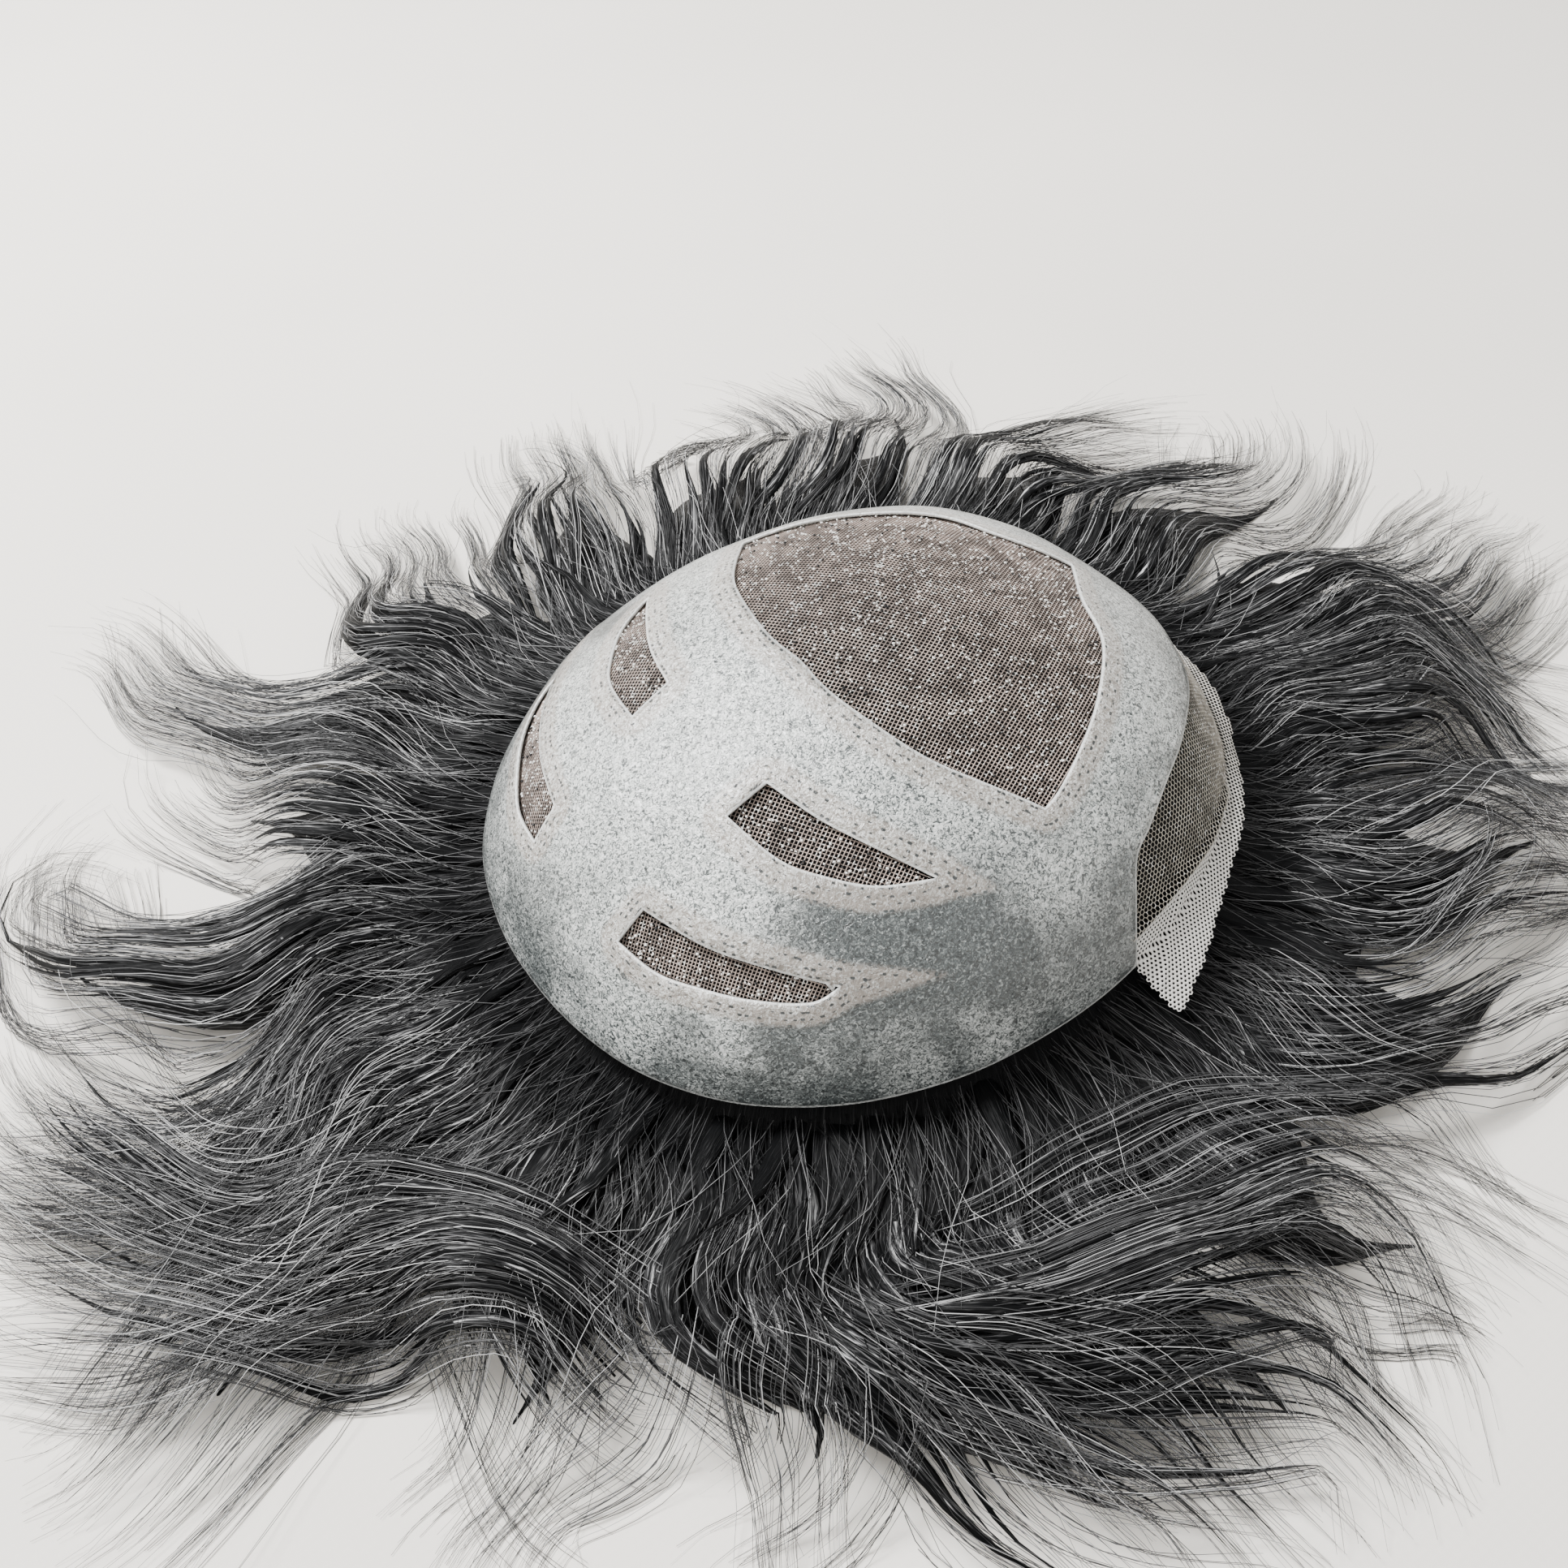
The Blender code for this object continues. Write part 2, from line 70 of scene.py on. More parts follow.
# Crescent windows of one side: along, across, corner
CROWN_WINDOW = (
    (-0.28, 0.17, 1),
    (-0.25, 0.30, 0),
    (-0.20, 0.43, 0),
    (-0.16, 0.52, 1),
    (-0.25, 0.46, 0),
    (-0.31, 0.38, 0),
    (-0.35, 0.30, 0),
    (-0.37, 0.17, 1),
)
BACK_WINDOW = (
    (-0.61, 0.18, 1),
    (-0.56, 0.33, 0),
    (-0.49, 0.46, 0),
    (-0.42, 0.57, 1),
    (-0.48, 0.56, 0),
    (-0.56, 0.48, 0),
    (-0.63, 0.38, 0),
    (-0.68, 0.29, 0),
    (-0.70, 0.18, 1),
)

# Where the crescents' stitched bands run on past their tips: tip and end, along and across
BAND_TAILS = (
    ((-0.16, 0.52), (-0.07, 0.62)),
    ((-0.42, 0.57), (-0.24, 0.70)),
)

# Half of the film's front edge, where the lace begins: along, across, corner
FILM_FRONT = (
    (0.17, 0.985, 1),
    (0.19, 0.85, 0),
    (0.23, 0.73, 0),
    (0.29, 0.68, 0),
    (0.39, 0.60, 0),
    (0.50, 0.53, 0),
    (0.65, 0.42, 0),
    (0.72, 0.34, 0),
    (0.79, 0.18, 0),
    (0.81, 0.00, 0),
)

# Locks: angle and reach at the root's end, half way, near the end and at the tip; width, loft, curl, loose
# Reach is the share of hair reach past the rim, curl the turn in degrees of the loose ends, and loose
# the share of loose strands
LOCKS = (
    ("front", (357, 0.10), (353, 0.35), (351, 0.72), (355, 1.00), 1.00, 1.00, 50, 1.00),
    ("front_near", (345, 0.10), (343, 0.36), (346, 0.62), (350, 0.88), 0.85, 0.90, 60, 1.00),
    ("temple_near_front", (335, 0.08), (339, 0.32), (340, 0.50), (335, 0.68), 0.95, 1.05, -80, 1.40),
    ("temple_near", (314, 0.06), (316, 0.28), (320, 0.50), (325, 0.76), 1.00, 1.00, 40, 1.60),
    ("temple_near_low", (288, 0.10), (297, 0.40), (308, 0.50), (317, 0.62), 0.95, 0.85, 40, 0.80),
    ("side_near_front", (272, 0.18), (274, 0.40), (279, 0.54), (281, 0.68), 0.85, 0.75, -40, 0.60),
    ("side_near", (252, 0.15), (254, 0.32), (260, 0.50), (265, 0.75), 0.95, 0.90, -30, 0.45),
    ("side_near_back", (232, 0.15), (235, 0.32), (246, 0.52), (256, 0.70), 1.00, 0.95, -40, 0.35),
    ("nape_near_front", (218, 0.10), (222, 0.28), (229, 0.42), (225, 0.56), 0.85, 1.00, 40, 0.40),
    ("nape_near", (196, 0.12), (200, 0.30), (207, 0.44), (216, 0.50), 0.90, 1.05, 30, 0.45),
    ("nape_near_wisp", (204, 0.12), (208, 0.34), (209, 0.48), (206, 0.64), 0.55, 0.60, 20, 0.50),
    ("nape_low", (183, 0.12), (186, 0.40), (189, 0.68), (191, 0.92), 0.90, 0.90, -30, 1.00),
    ("nape", (178, 0.12), (181, 0.45), (186, 0.72), (178, 0.93), 0.85, 0.85, -50, 1.00),
    ("nape_sweep", (172, 0.12), (177, 0.42), (174, 0.66), (163, 0.80), 0.90, 0.95, -40, 1.00),
    ("nape_sweep_low", (166, 0.10), (176, 0.36), (177, 0.62), (171, 0.90), 0.70, 0.70, -50, 1.00),
    ("curl", (156, 0.14), (160, 0.42), (156, 0.74), (147, 0.80), 0.80, 1.05, -110, 1.00),
    ("side_far_back", (140, 0.10), (143, 0.28), (139, 0.46), (136, 0.62), 0.90, 1.00, -60, 1.00),
    ("side_far_wisp", (122, 0.14), (128, 0.46), (128, 0.74), (124, 1.00), 0.75, 0.75, 60, 1.00),
    ("side_far", (110, 0.12), (112, 0.36), (106, 0.56), (100, 0.74), 1.00, 0.95, -50, 1.00),
    ("side_far_front", (92, 0.10), (90, 0.36), (84, 0.60), (82, 0.86), 0.90, 0.90, 50, 1.00),
    ("temple_far_low", (74, 0.12), (70, 0.34), (64, 0.54), (66, 0.72), 1.00, 1.00, 40, 1.00),
    ("temple_far", (56, 0.10), (52, 0.36), (48, 0.62), (50, 0.88), 0.90, 0.90, 50, 1.00),
    ("temple_far_front", (38, 0.12), (34, 0.36), (28, 0.56), (24, 0.74), 1.00, 1.00, -50, 1.00),
    ("front_far", (16, 0.10), (14, 0.36), (10, 0.64), (12, 0.90), 0.90, 0.90, 40, 1.00),
)

# Shape of every lock: way along it, width and loft there
LOCK_SHAPE = np.array((
    (0.00, 0.55, 0.50),
    (0.18, 0.75, 0.62),
    (0.36, 1.00, 0.95),
    (0.52, 1.00, 0.92),
    (0.68, 0.82, 0.62),
    (0.84, 0.55, 0.36),
    (0.94, 0.32, 0.24),
    (1.00, 0.12, 0.15),
    (1.30, 0.10, 0.12),
))

# Half width of a lock's loose strands: way along it and the share of its widest
STRAND_SPREAD = np.array((
    (0.00, 0.62),
    (0.18, 0.80),
    (0.40, 1.00),
    (0.60, 0.96),
    (0.80, 0.78),
    (1.00, 0.62),
    (1.30, 0.56),
))

# Hair's body outside the rim: way across body_width and height as a share of loft
BODY_TOP = (
    (0.20, 0.56),
    (0.45, 0.66),
    (0.70, 0.62),
    (0.90, 0.42),
    (1.00, 0.10),
)

# Loose sweeps that lie over the locks: angle and reach at each place, width in metres, share of strands
SWEEPS = (
    (((189, 0.14), (187, 0.28), (185, 0.45), (179, 0.59), (170, 0.69), (161, 0.77)), 0.020, 1.1),
    (((197, 0.18), (194, 0.34), (189, 0.52), (182, 0.66), (173, 0.77), (166, 0.85)), 0.022, 1.3),
    (((207, 0.25), (199, 0.39), (192, 0.54), (185, 0.66), (178, 0.79), (172, 0.87)), 0.022, 1.3),
    (((219, 0.42), (214, 0.40), (207, 0.37), (200, 0.41), (194, 0.52), (192, 0.65), (193, 0.77)), 0.016, 1.3),
    (((221, 0.36), (216, 0.38), (208, 0.34), (201, 0.36), (192, 0.46), (188, 0.61), (186, 0.77), (186, 0.90)),
     0.020, 1.6),
    (((225, 0.23), (227, 0.34), (226, 0.44), (228, 0.53), (230, 0.66)), 0.012, 0.8),
    (((219, 0.30), (218, 0.40), (215, 0.50), (212, 0.60), (212, 0.72)), 0.014, 0.8),
    (((231, 0.28), (235, 0.39), (239, 0.48), (245, 0.60), (249, 0.74)), 0.014, 0.8),
    (((231, 0.23), (237, 0.39), (246, 0.47), (254, 0.59), (257, 0.78)), 0.018, 1.2),
    (((235, 0.41), (244, 0.46), (253, 0.51), (260, 0.56), (265, 0.63), (266, 0.73), (265, 0.79)), 0.018, 1.3),
    (((232, 0.24), (235, 0.34), (249, 0.38), (260, 0.40), (269, 0.45), (273, 0.54), (272, 0.64), (269, 0.72)),
     0.022, 1.7),
    (((232, 0.20), (236, 0.25), (247, 0.27), (260, 0.28), (272, 0.31), (280, 0.40), (282, 0.52), (281, 0.64)),
     0.024, 1.9),
    (((296, 0.03), (293, 0.10), (290, 0.22), (288, 0.34), (289, 0.46)), 0.020, 0.8),
    (((354, 0.18), (350, 0.33), (347, 0.53), (338, 0.65), (332, 0.75)), 0.020, 1.0),
    (((336, 0.09), (339, 0.28), (337, 0.47), (331, 0.58), (323, 0.70)), 0.022, 1.2),
    (((312, 0.08), (320, 0.19), (326, 0.36), (324, 0.52), (321, 0.70)), 0.022, 1.2),
    (((359, 0.24), (356, 0.43), (356, 0.66), (357, 0.89), (358, 1.04)), 0.016, 0.6),
    (((122, 0.06), (131, 0.12), (127, 0.39), (129, 0.61), (126, 0.84), (121, 1.00)), 0.014, 0.7),
    (((132, 0.02), (134, 0.18), (131, 0.41), (131, 0.62), (128, 0.82), (125, 0.97)), 0.014, 0.7),
    (((139, 0.00), (140, 0.12), (138, 0.26), (136, 0.37), (132, 0.46)), 0.012, 0.4),
    (((149, 0.02), (156, 0.23), (159, 0.43), (156, 0.65), (151, 0.79), (148, 0.86), (145, 0.83), (146, 0.72)),
     0.016, 1.2),
    (((171, 0.02), (175, 0.18), (179, 0.31), (183, 0.42), (182, 0.54)), 0.024, 1.0),
    (((118, 0.06), (113, 0.26), (115, 0.44), (108, 0.60), (104, 0.76)), 0.022, 1.0),
    (((100, 0.10), (98, 0.28), (90, 0.46), (84, 0.62), (86, 0.78)), 0.022, 1.0),
    (((70, 0.10), (66, 0.28), (58, 0.46), (56, 0.62), (62, 0.80)), 0.022, 1.0),
    (((36, 0.10), (30, 0.28), (20, 0.46), (16, 0.62), (18, 0.82)), 0.022, 1.0),
)

# How far the lace goes past the rim: angle in degrees and share of half length
LACE_PAST = np.array((
    (-90.0, 0.180),
    (-80.0, 0.165),
    (-73.0, 0.118),
    (-65.0, 0.076),
    (-56.0, 0.054),
    (-45.0, 0.045),
    (60.0, 0.045),
    (90.0, 0.052),
))

# The lace's fold and pleat near its flap: along and across
LACE_FOLD = ((0.165, -0.91), (0.32, -0.865), (0.53, -0.80), (0.695, -0.705))
LACE_PLEAT = ((0.20, -1.06), (0.225, -1.035), (0.37, -0.89))

# Dark places where hair presses on the film: along, across, width, strength
HAIR_PRESSED = (
    (-0.275, -0.55, 0.095, 1.30),
    (-0.36, -0.43, 0.075, 0.80),
    (-0.15, -0.70, 0.09, 0.55),
    (-0.55, -0.72, 0.15, 0.55),
    (0.02, -0.86, 0.13, 0.60),
    (0.27, -0.62, 0.09, 0.30),
    (-0.275, 0.56, 0.095, 0.80),
    (-0.53, 0.76, 0.13, 0.45),
    (0.10, 0.84, 0.16, 0.45),
)

# Which locks each piece of loose hair holds: from and up to these angles of the lock's root
HAIR_SECTORS = (
    ("front", 325.0, 400.0),
    ("near_side", 225.0, 325.0),
    ("nape", 150.0, 225.0),
    ("far_side", 40.0, 150.0),
)

# Arc of one unit of the dome's pattern in half lengths, on the whole and by the front
PATTERN_RUN = 1.18
LACE_RUN = 1.12

# How far the film lies in from the dome's face, and the net's lap under it
FILM_SEAT = 0.0002
NET_LAP = 0.0035

# Relief of the film: rise of its bands, roll of its edges and size of its slow lumps
BAND_RISE = 0.00022
EDGE_ROLL = 0.00014
LUMP_SIZE = 0.00022

# Lace: its lap under the film's edge, its threads' height, and the heights of fold, pleat and ruffle
LACE_LAP = 0.004
LACE_THREAD = 0.00028
FOLD_RISE = 0.0013
PLEAT_RISE = 0.0006
RUFFLE_RISE = 0.0008

# Turn of the nets' threads in radians, knots in the top window and in a crescent, share of pale ones
NET_TURN = 0.5
TOP_KNOTS = 1000
CRESCENT_KNOTS = 110
PALE_KNOTS = 0.72

# A lock's oval stands on this share of its loft and leans by this share of its half width
LOCK_MIDDLE = 0.35
LOCK_TILT = 0.10

# How far a lock's root runs back, as a share of its first stretch; its swings and their size
LOCK_ROOT_RUN = 0.6
LOCK_WAVES = 1.5
LOCK_SWING = 0.005

# Steps of a plan curve, and those that it runs on past its end
LINE_STEPS = 60
PAST_STEPS = 15

# A lock's core: its end and where it begins to thin, as ways along the lock, and its share of the oval
CORE_END = 0.80
CORE_THINS = 0.25
CORE_SHARE = 0.86
CORE_STATIONS = 20
CORE_SIDES = 16

# Bundles: stations, sides, height over width, and how many leave from under the rim
BUNDLE_STATIONS = 22
BUNDLE_SIDES = 7
BUNDLE_FLAT = 0.38
RIM_BUNDLES = 130
RIM_STATIONS = 10

# A sweep with a smaller share of strands has no bundles under it
THIN_SWEEP = 0.9

# Clumps that the strands of a lock or a sweep draw together in
CLUMPS = 9

# Cell of the grid of the hair's top
TOPS_CELL = 0.003

# Loose hair stays this far under the rim, may rise by this share from this far past it on, and the
# body's own depth under the rim
UNDER_RIM = 0.0085
RIM_RISE = 0.66
RIM_FREE = 0.008
BODY_UNDER_RIM = 0.0095

# How far the body wave lifts the strands of a line and the short ones by the rim
WAVE_LIFT = 0.0022
RIM_WAVE_LIFT = 0.0018

# How deep a strand starts in the hair under it
ROOT_DIP = 0.003

# How far a path may end past the hair's box, and how far short of that, at most
ROOM_SPARE = 0.0105
ROOM_RAGGED = 0.035


def to_linear(hex_colour):
    """An sRGB hex colour as linear red, green and blue, by the sRGB curve."""
    channels = [int(hex_colour[place:place + 2], 16) / 255.0 for place in (1, 3, 5)]
    return tuple(c / 12.92 if c <= 0.04045 else ((c + 0.055) / 1.055) ** 2.4 for c in channels)


def length(name, description, default):
    """A length in metres that a user may change."""
    return FloatProperty(name=name, description=description, default=default,
                         precision=5, unit="LENGTH", subtype="DISTANCE")


def slope(name, description, degrees):
    """An angle that a user may change."""
    return FloatProperty(name=name, description=description, default=math.radians(degrees),
                         subtype="ANGLE")


def amount(name, description, default):
    """A plain number that a user may change."""
    return FloatProperty(name=name, description=description, default=default)


def tally(name, description, default):
    """A count that a user may change."""
    return IntProperty(name=name, description=description, default=default)


def colour(name, description, hex_colour):
    """A colour that a user may change."""
    return FloatVectorProperty(name=name, description=description, subtype="COLOR",
                               default=to_linear(hex_colour), min=0.0, max=1.0)


class BaseSettings(bpy.types.PropertyGroup):
    """Sizes of the base: its dome, film, nets and lace."""
    half_length: length("Half length", "Half of the base's length in plan", 0.102)
    half_width: length("Half width", "Half of the base's width in plan", 0.092)
    dome_height: length("Dome height", "Height of the dome over its rim", 0.057)
    rim_height: length("Rim height", "Height of the rim's middle over the table", 0.028)
    sweep: slope("Sweep", "Angle from the dome's top to its rim", 77.0)
    lift: slope("Front lift", "How far the base leans back", 3.8)
    plan_power: amount("Plan power", "Power of the plan's superellipse", 2.18)
    film_wall: length("Film wall", "Thickness of the poly film", 0.0008)
    film_cell: length("Film cell", "Size of the film's facets", 0.0017)
    layer_depth: length("Net depth", "Depth of the nets under the film's outer face", 0.0013)
    band_width: length("Band width", "Width of the stitched band round each window", 0.006)
    net_pitch: length("Net pitch", "Spacing of the mono net's threads", 0.00095)
    net_thread: length("Net thread", "Width of the mono net's threads", 0.00036)
    lace_pitch: length("Lace pitch", "Width of the lace's hexagons", 0.0014)
    lace_hole: amount("Lace hole", "Share of a hexagon that is open", 0.84)
    flat_width: length("Flat width", "Film's width over the dome, from rim to rim", 0.232)
    flat_length: length("Flat length", "Film's length over the dome, from rim to rim", 0.249)
    flat_area: amount("Flat area", "Film's area in square metres, windows left out", 0.0268)
    drop: slope("Allowance drop", "Slope of the lace past the rim", 28.0)


class HairSettings(bpy.types.PropertyGroup):
    """Sizes and counts of the hair."""
    reach: length("Reach", "How far the longest lock goes past the rim", 0.154)
    loft: length("Loft", "Height of the fullest lock", 0.026)
    layer: length("Layer", "Thickness of the hair under the dome", 0.006)
    cover_depth: length("Cover depth", "Depth of the hair's top under the film's face", 0.0026)
    body_width: length("Body width", "Width of the hair's body outside the rim", 0.042)
    foot_width: length("Foot width", "Width of the hair's foot inside the rim", 0.022)
    lock_width: length("Lock width", "Width of the widest lock", 0.060)
    wave_length: length("Wave length", "Length of one body wave", 0.060)
    wave_swing: length("Wave swing", "Sideways swing of the body wave", 0.0030)
    strand: length("Strand", "Width a strand is drawn at, thicker than the real 0.08 mm", 0.00024)
    long_strands: tally("Long strands", "Strands from root to tip in all", 1300)
    end_strands: tally("End strands", "Strands at the locks' ends in all", 3100)
    sweep_strands: tally("Sweep strands", "Strands in the sweeps in all", 1700)
    short_strands: tally("Short strands", "Strands round the rim in all", 1500)
    bundles: tally("Bundles", "Thick bundles in each lock", 11)
    grey: amount("Grey share", "Share of grey strands", 0.26)
    silver: amount("Silver share", "Share of silver strands", 0.16)
    seed: tally("Seed", "Start of the random draws", 7)


class ColourSettings(bpy.types.PropertyGroup):
    """Colours of the hairpiece and the table."""
    film: colour("Film", "Poly film over hair", "#b2b7b4")
    film_dark: colour("Film, hair close", "Film where the hair presses on it", "#545a5a")
    film_fleck: colour("Film fleck", "Light flecks in the film", "#e4e6e4")
    band: colour("Band", "Stitched band round a window", "#a59b91")
    net: colour("Net", "Mono net", "#bfaea4")
    knot: colour("Knot", "Pale knots in the nets", "#f4f1ec")
    lace: colour("Lace", "Lace threads", "#c6bfb2")
    hair_dark: colour("Dark hair", "Near black strands", "#08090b")
    hair_grey: colour("Grey hair", "Grey strands", "#6a6a6b")
    hair_silver: colour("Silver hair", "Silver strands", "#d8d8d8")
    table: colour("Table", "The surface it lies on", "#fdf8f0")


def settings():
    """The base, hair and colour settings of the open scene."""
    scene = bpy.context.scene
    return scene.hairpiece_base, scene.hairpiece_hair, scene.hairpiece_colours


def dome_middle():
    """The dome's middle in plan: the film's back edge is half a length behind it, leaning back."""
    base = settings()[0]
    low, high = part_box("poly_skin")
    return np.array((low[0] + base.half_length * math.cos(base.lift), 0.5 * (low[1] + high[1])))


def dome_face(pattern):
    """Points of the dome's outer face: the way out is the sine and the height the cosine of the sweep.

    The plan is a superellipse. Past the rim the sheet runs straight on, dropping by the slope.
    """
    base = settings()[0]
    along, across = pattern[..., 0], pattern[..., 1]
    reach = np.hypot(along, across)
    angle = np.arctan2(across, along)
    held = np.minimum(reach, 1.0)
    past = reach - held
    cosine, sine = np.cos(angle), np.sin(angle)
    fullness = (np.abs(cosine) ** base.plan_power + np.abs(sine) ** base.plan_power)
    fullness = fullness ** (-1.0 / base.plan_power)
    out = np.sin(held * base.sweep) / math.sin(base.sweep) + past * math.cos(base.drop)
    rise = (np.cos(held * base.sweep) - math.cos(base.sweep)) / (1.0 - math.cos(base.sweep))
    x = base.half_length * fullness * cosine * out
    y = base.half_width * fullness * sine * out
    z = base.dome_height * rise - base.half_length * past * math.sin(base.drop)
    middle = dome_middle()
    return np.stack((
        middle[0] + x * math.cos(base.lift) - z * math.sin(base.lift),
        middle[1] + y,
        base.rim_height + x * math.sin(base.lift) + z * math.cos(base.lift),
    ), axis=-1)


def unit(vectors):
    """Vectors divided by their lengths."""
    return vectors / np.maximum(np.linalg.norm(vectors, axis=-1, keepdims=True), 1e-12)


def dome_normal(pattern):
    """The outward normal: the cross product of the face's slopes along and across the pattern."""
    step = 0.004
    along = dome_face(pattern + (step, 0.0)) - dome_face(pattern - (step, 0.0))
    across = dome_face(pattern + (0.0, step)) - dome_face(pattern - (0.0, step))
    return unit(np.cross(along, across))


def on_dome(pattern, depth):
    """Pattern points on the dome, moved in along the normal by a depth."""
    pattern = np.asarray(pattern, dtype=float)
    return dome_face(pattern) - np.asarray(depth)[..., None] * dome_normal(pattern)


def smooth_run(points, steps):
    """A Catmull-Rom curve through the points: a cubic from each to the next, its ends doubled."""
    points = np.asarray(points, dtype=float)
    held = np.vstack((points[:1], points, points[-1:]))
    way = (np.arange(steps) / steps)[None, :, None]
    before, start, end, after = (held[place:len(held) - 3 + place, None] for place in range(4))
    curve = 0.5 * (2.0 * start + (end - before) * way
                   + (2.0 * before - 5.0 * start + 4.0 * end - after) * way ** 2
                   + (3.0 * start - before - 3.0 * end + after) * way ** 3)
    return np.vstack((curve.reshape(-1, 2), points[-1:]))


def outline(table, steps=8):
    """A closed outline through a table's points, smooth but for its corners."""
    rows = list(table)
    first = next(index for index, row in enumerate(rows) if row[2])
    rows = rows[first:] + rows[:first] + [rows[first]]
    corners = [index for index, row in enumerate(rows) if row[2]]
    runs = [smooth_run([row[:2] for row in rows[start:end + 1]], steps)[:-1]
            for start, end in zip(corners, corners[1:])]
    return np.vstack(runs)


def both_halves(table):
    """A half outline from the front to the back, with its mirror image across the middle."""
    mirrored = [(along, -across, corner) for along, across, corner in reversed(table) if across]
    return tuple(table) + tuple(mirrored)


def windows():
    """The outlines of the five windows, each named for its net's node."""
    crown, back = outline(CROWN_WINDOW), outline(BACK_WINDOW)
    flip = np.array((1.0, -1.0))
    return {
        "net_top": outline(both_halves(TOP_WINDOW)),
        "net_crown_far": crown,
        "net_crown_near": crown[::-1] * flip,
        "net_back_far": back,
        "net_back_near": back[::-1] * flip,
    }


def film_front():
    """The film's whole front edge, from the near rim round the front to the far rim."""
    half = smooth_run([row[:2] for row in FILM_FRONT], 8)
    return np.vstack((half * (1.0, -1.0), half[-2::-1]))


def rim_run(start, end, count, reach=1.0):
    """Points round the rim from one angle to another, at a reach."""
    angles = np.linspace(start, end, count)
    return np.column_stack((np.cos(angles), np.sin(angles))) * np.broadcast_to(reach, count)[:, None]


def film_outline():
    """The film's outline: its front edge, then the rim round the back."""
    front = film_front()
    start = math.atan2(front[-1, 1], front[-1, 0])
    return np.vstack((front[1:-1], rim_run(start, 2.0 * math.pi - start, 240)))


def lace_outline(lap):
    """The lace's outline: tucked by a lap under the film's front edge, and past the rim with a flap."""
    base = settings()[0]
    front = film_front()
    tucked = front - unit(front) * lap / base.half_length
    end = math.atan2(front[-1, 1], front[-1, 0])
    angles = np.linspace(end, -end, 200)
    past = np.interp(np.degrees(angles), LACE_PAST[:, 0], LACE_PAST[:, 1])
    return np.vstack((tucked, rim_run(end, -end, 200, 1.0 + past)))


def inside(points, loop):
    """Whether each point lies inside a closed outline, by counting the sides to its right."""
    x, y = points[:, 0][:, None], points[:, 1][:, None]
    start, end = loop, np.roll(loop, -1, axis=0)
    crosses = (start[:, 1] > y) != (end[:, 1] > y)
    rise = np.where(end[:, 1] == start[:, 1], 1.0, end[:, 1] - start[:, 1])
    side = start[:, 0] + (y - start[:, 1]) * (end[:, 0] - start[:, 0]) / rise
    return np.sum(crosses & (x < side), axis=1) % 2 == 1


def nearest(points, loop, closed=True):
    """The nearest point of a line to each point, and the distance to it."""
    start, end = loop, np.roll(loop, -1, axis=0)
    if not closed:
        start, end = loop[:-1], loop[1:]
    run = end - start
    place, gap = np.empty_like(points), np.empty(len(points))
    for part in np.array_split(np.arange(len(points)), max(1, len(points) // 8000)):
        apart = points[part, None, :] - start[None]
        way = np.clip(np.sum(apart * run, axis=2) / np.maximum(np.sum(run * run, axis=1), 1e-12), 0.0, 1.0)
        off = np.linalg.norm(apart - way[:, :, None] * run, axis=2)
        best = np.argmin(off, axis=1)
        rows = np.arange(len(part))
        place[part] = start[best] + way[rows, best][:, None] * run[best]
        gap[part] = off[rows, best]
    return place, gap


def open_edges(quads):
    """The edges that only one facet uses, each in its own facet's order."""
    edges = np.concatenate([quads[:, [side, (side + 1) % 4]] for side in range(4)])
    keys = np.sort(edges, axis=1)
    _, first, uses = np.unique(keys[:, 0] * (quads.max() + 1) + keys[:, 1],
                               return_index=True, return_counts=True)
    return edges[first[uses == 1]]


def sharp_corners(loop):
    """The points of an outline where it turns by more than thirty degrees."""
    ahead = unit(np.roll(loop, -1, axis=0) - loop)
    behind = unit(loop - np.roll(loop, 1, axis=0))
    return loop[np.sum(ahead * behind, axis=1) < math.cos(math.radians(30.0))]


def cut_grid(cell, outer, holes):
    """A square grid of the pattern, cut to an outline less its holes.

    Cells whose middle lies inside are kept. The points along the cut are then moved onto the
    nearest outline, and the nearest of them onto each sharp corner.
    """
    low, high = outer.min(axis=0) - cell, outer.max(axis=0) + cell
    columns, rows = (np.ceil((high - low) / cell)).astype(int) + 1
    grid = np.stack(np.meshgrid(np.arange(columns), np.arange(rows), indexing="ij"), axis=-1) * cell + low
    points = grid.reshape(-1, 2)
    corner = np.arange(columns * rows).reshape(columns, rows)
    quads = np.stack((corner[:-1, :-1], corner[1:, :-1], corner[1:, 1:], corner[:-1, 1:]), axis=-1)
    quads = quads.reshape(-1, 4)
    middles = points[quads].mean(axis=1)
    kept = inside(middles, outer)
    for loop in holes:
        kept &= ~inside(middles, loop)
    used, quads = np.unique(quads[kept], return_inverse=True)
    points, quads = points[used], quads.reshape(-1, 4)
    cut = np.unique(open_edges(quads))
    best = np.full(len(cut), np.inf)
    moved = points[cut]
    for loop in [outer] + holes:
        place, gap = nearest(points[cut], loop)
        closer = gap < best
        best[closer], moved[closer] = gap[closer], place[closer]
    points[cut] = moved
    for spot in np.vstack([sharp_corners(loop) for loop in [outer] + holes]):
        points[cut[np.argmin(np.linalg.norm(points[cut] - spot, axis=1))]] = spot
    return points, quads


def walled(outer, inner, quads):
    """A closed wall between two layers with the same facets, joined along their open edges."""
    count = len(outer)
    rim = open_edges(quads)
    sides = np.column_stack((rim[:, 1], rim[:, 0], rim[:, 0] + count, rim[:, 1] + count))
    return np.vstack((outer, inner)), np.vstack((quads, quads[:, ::-1] + count, sides))


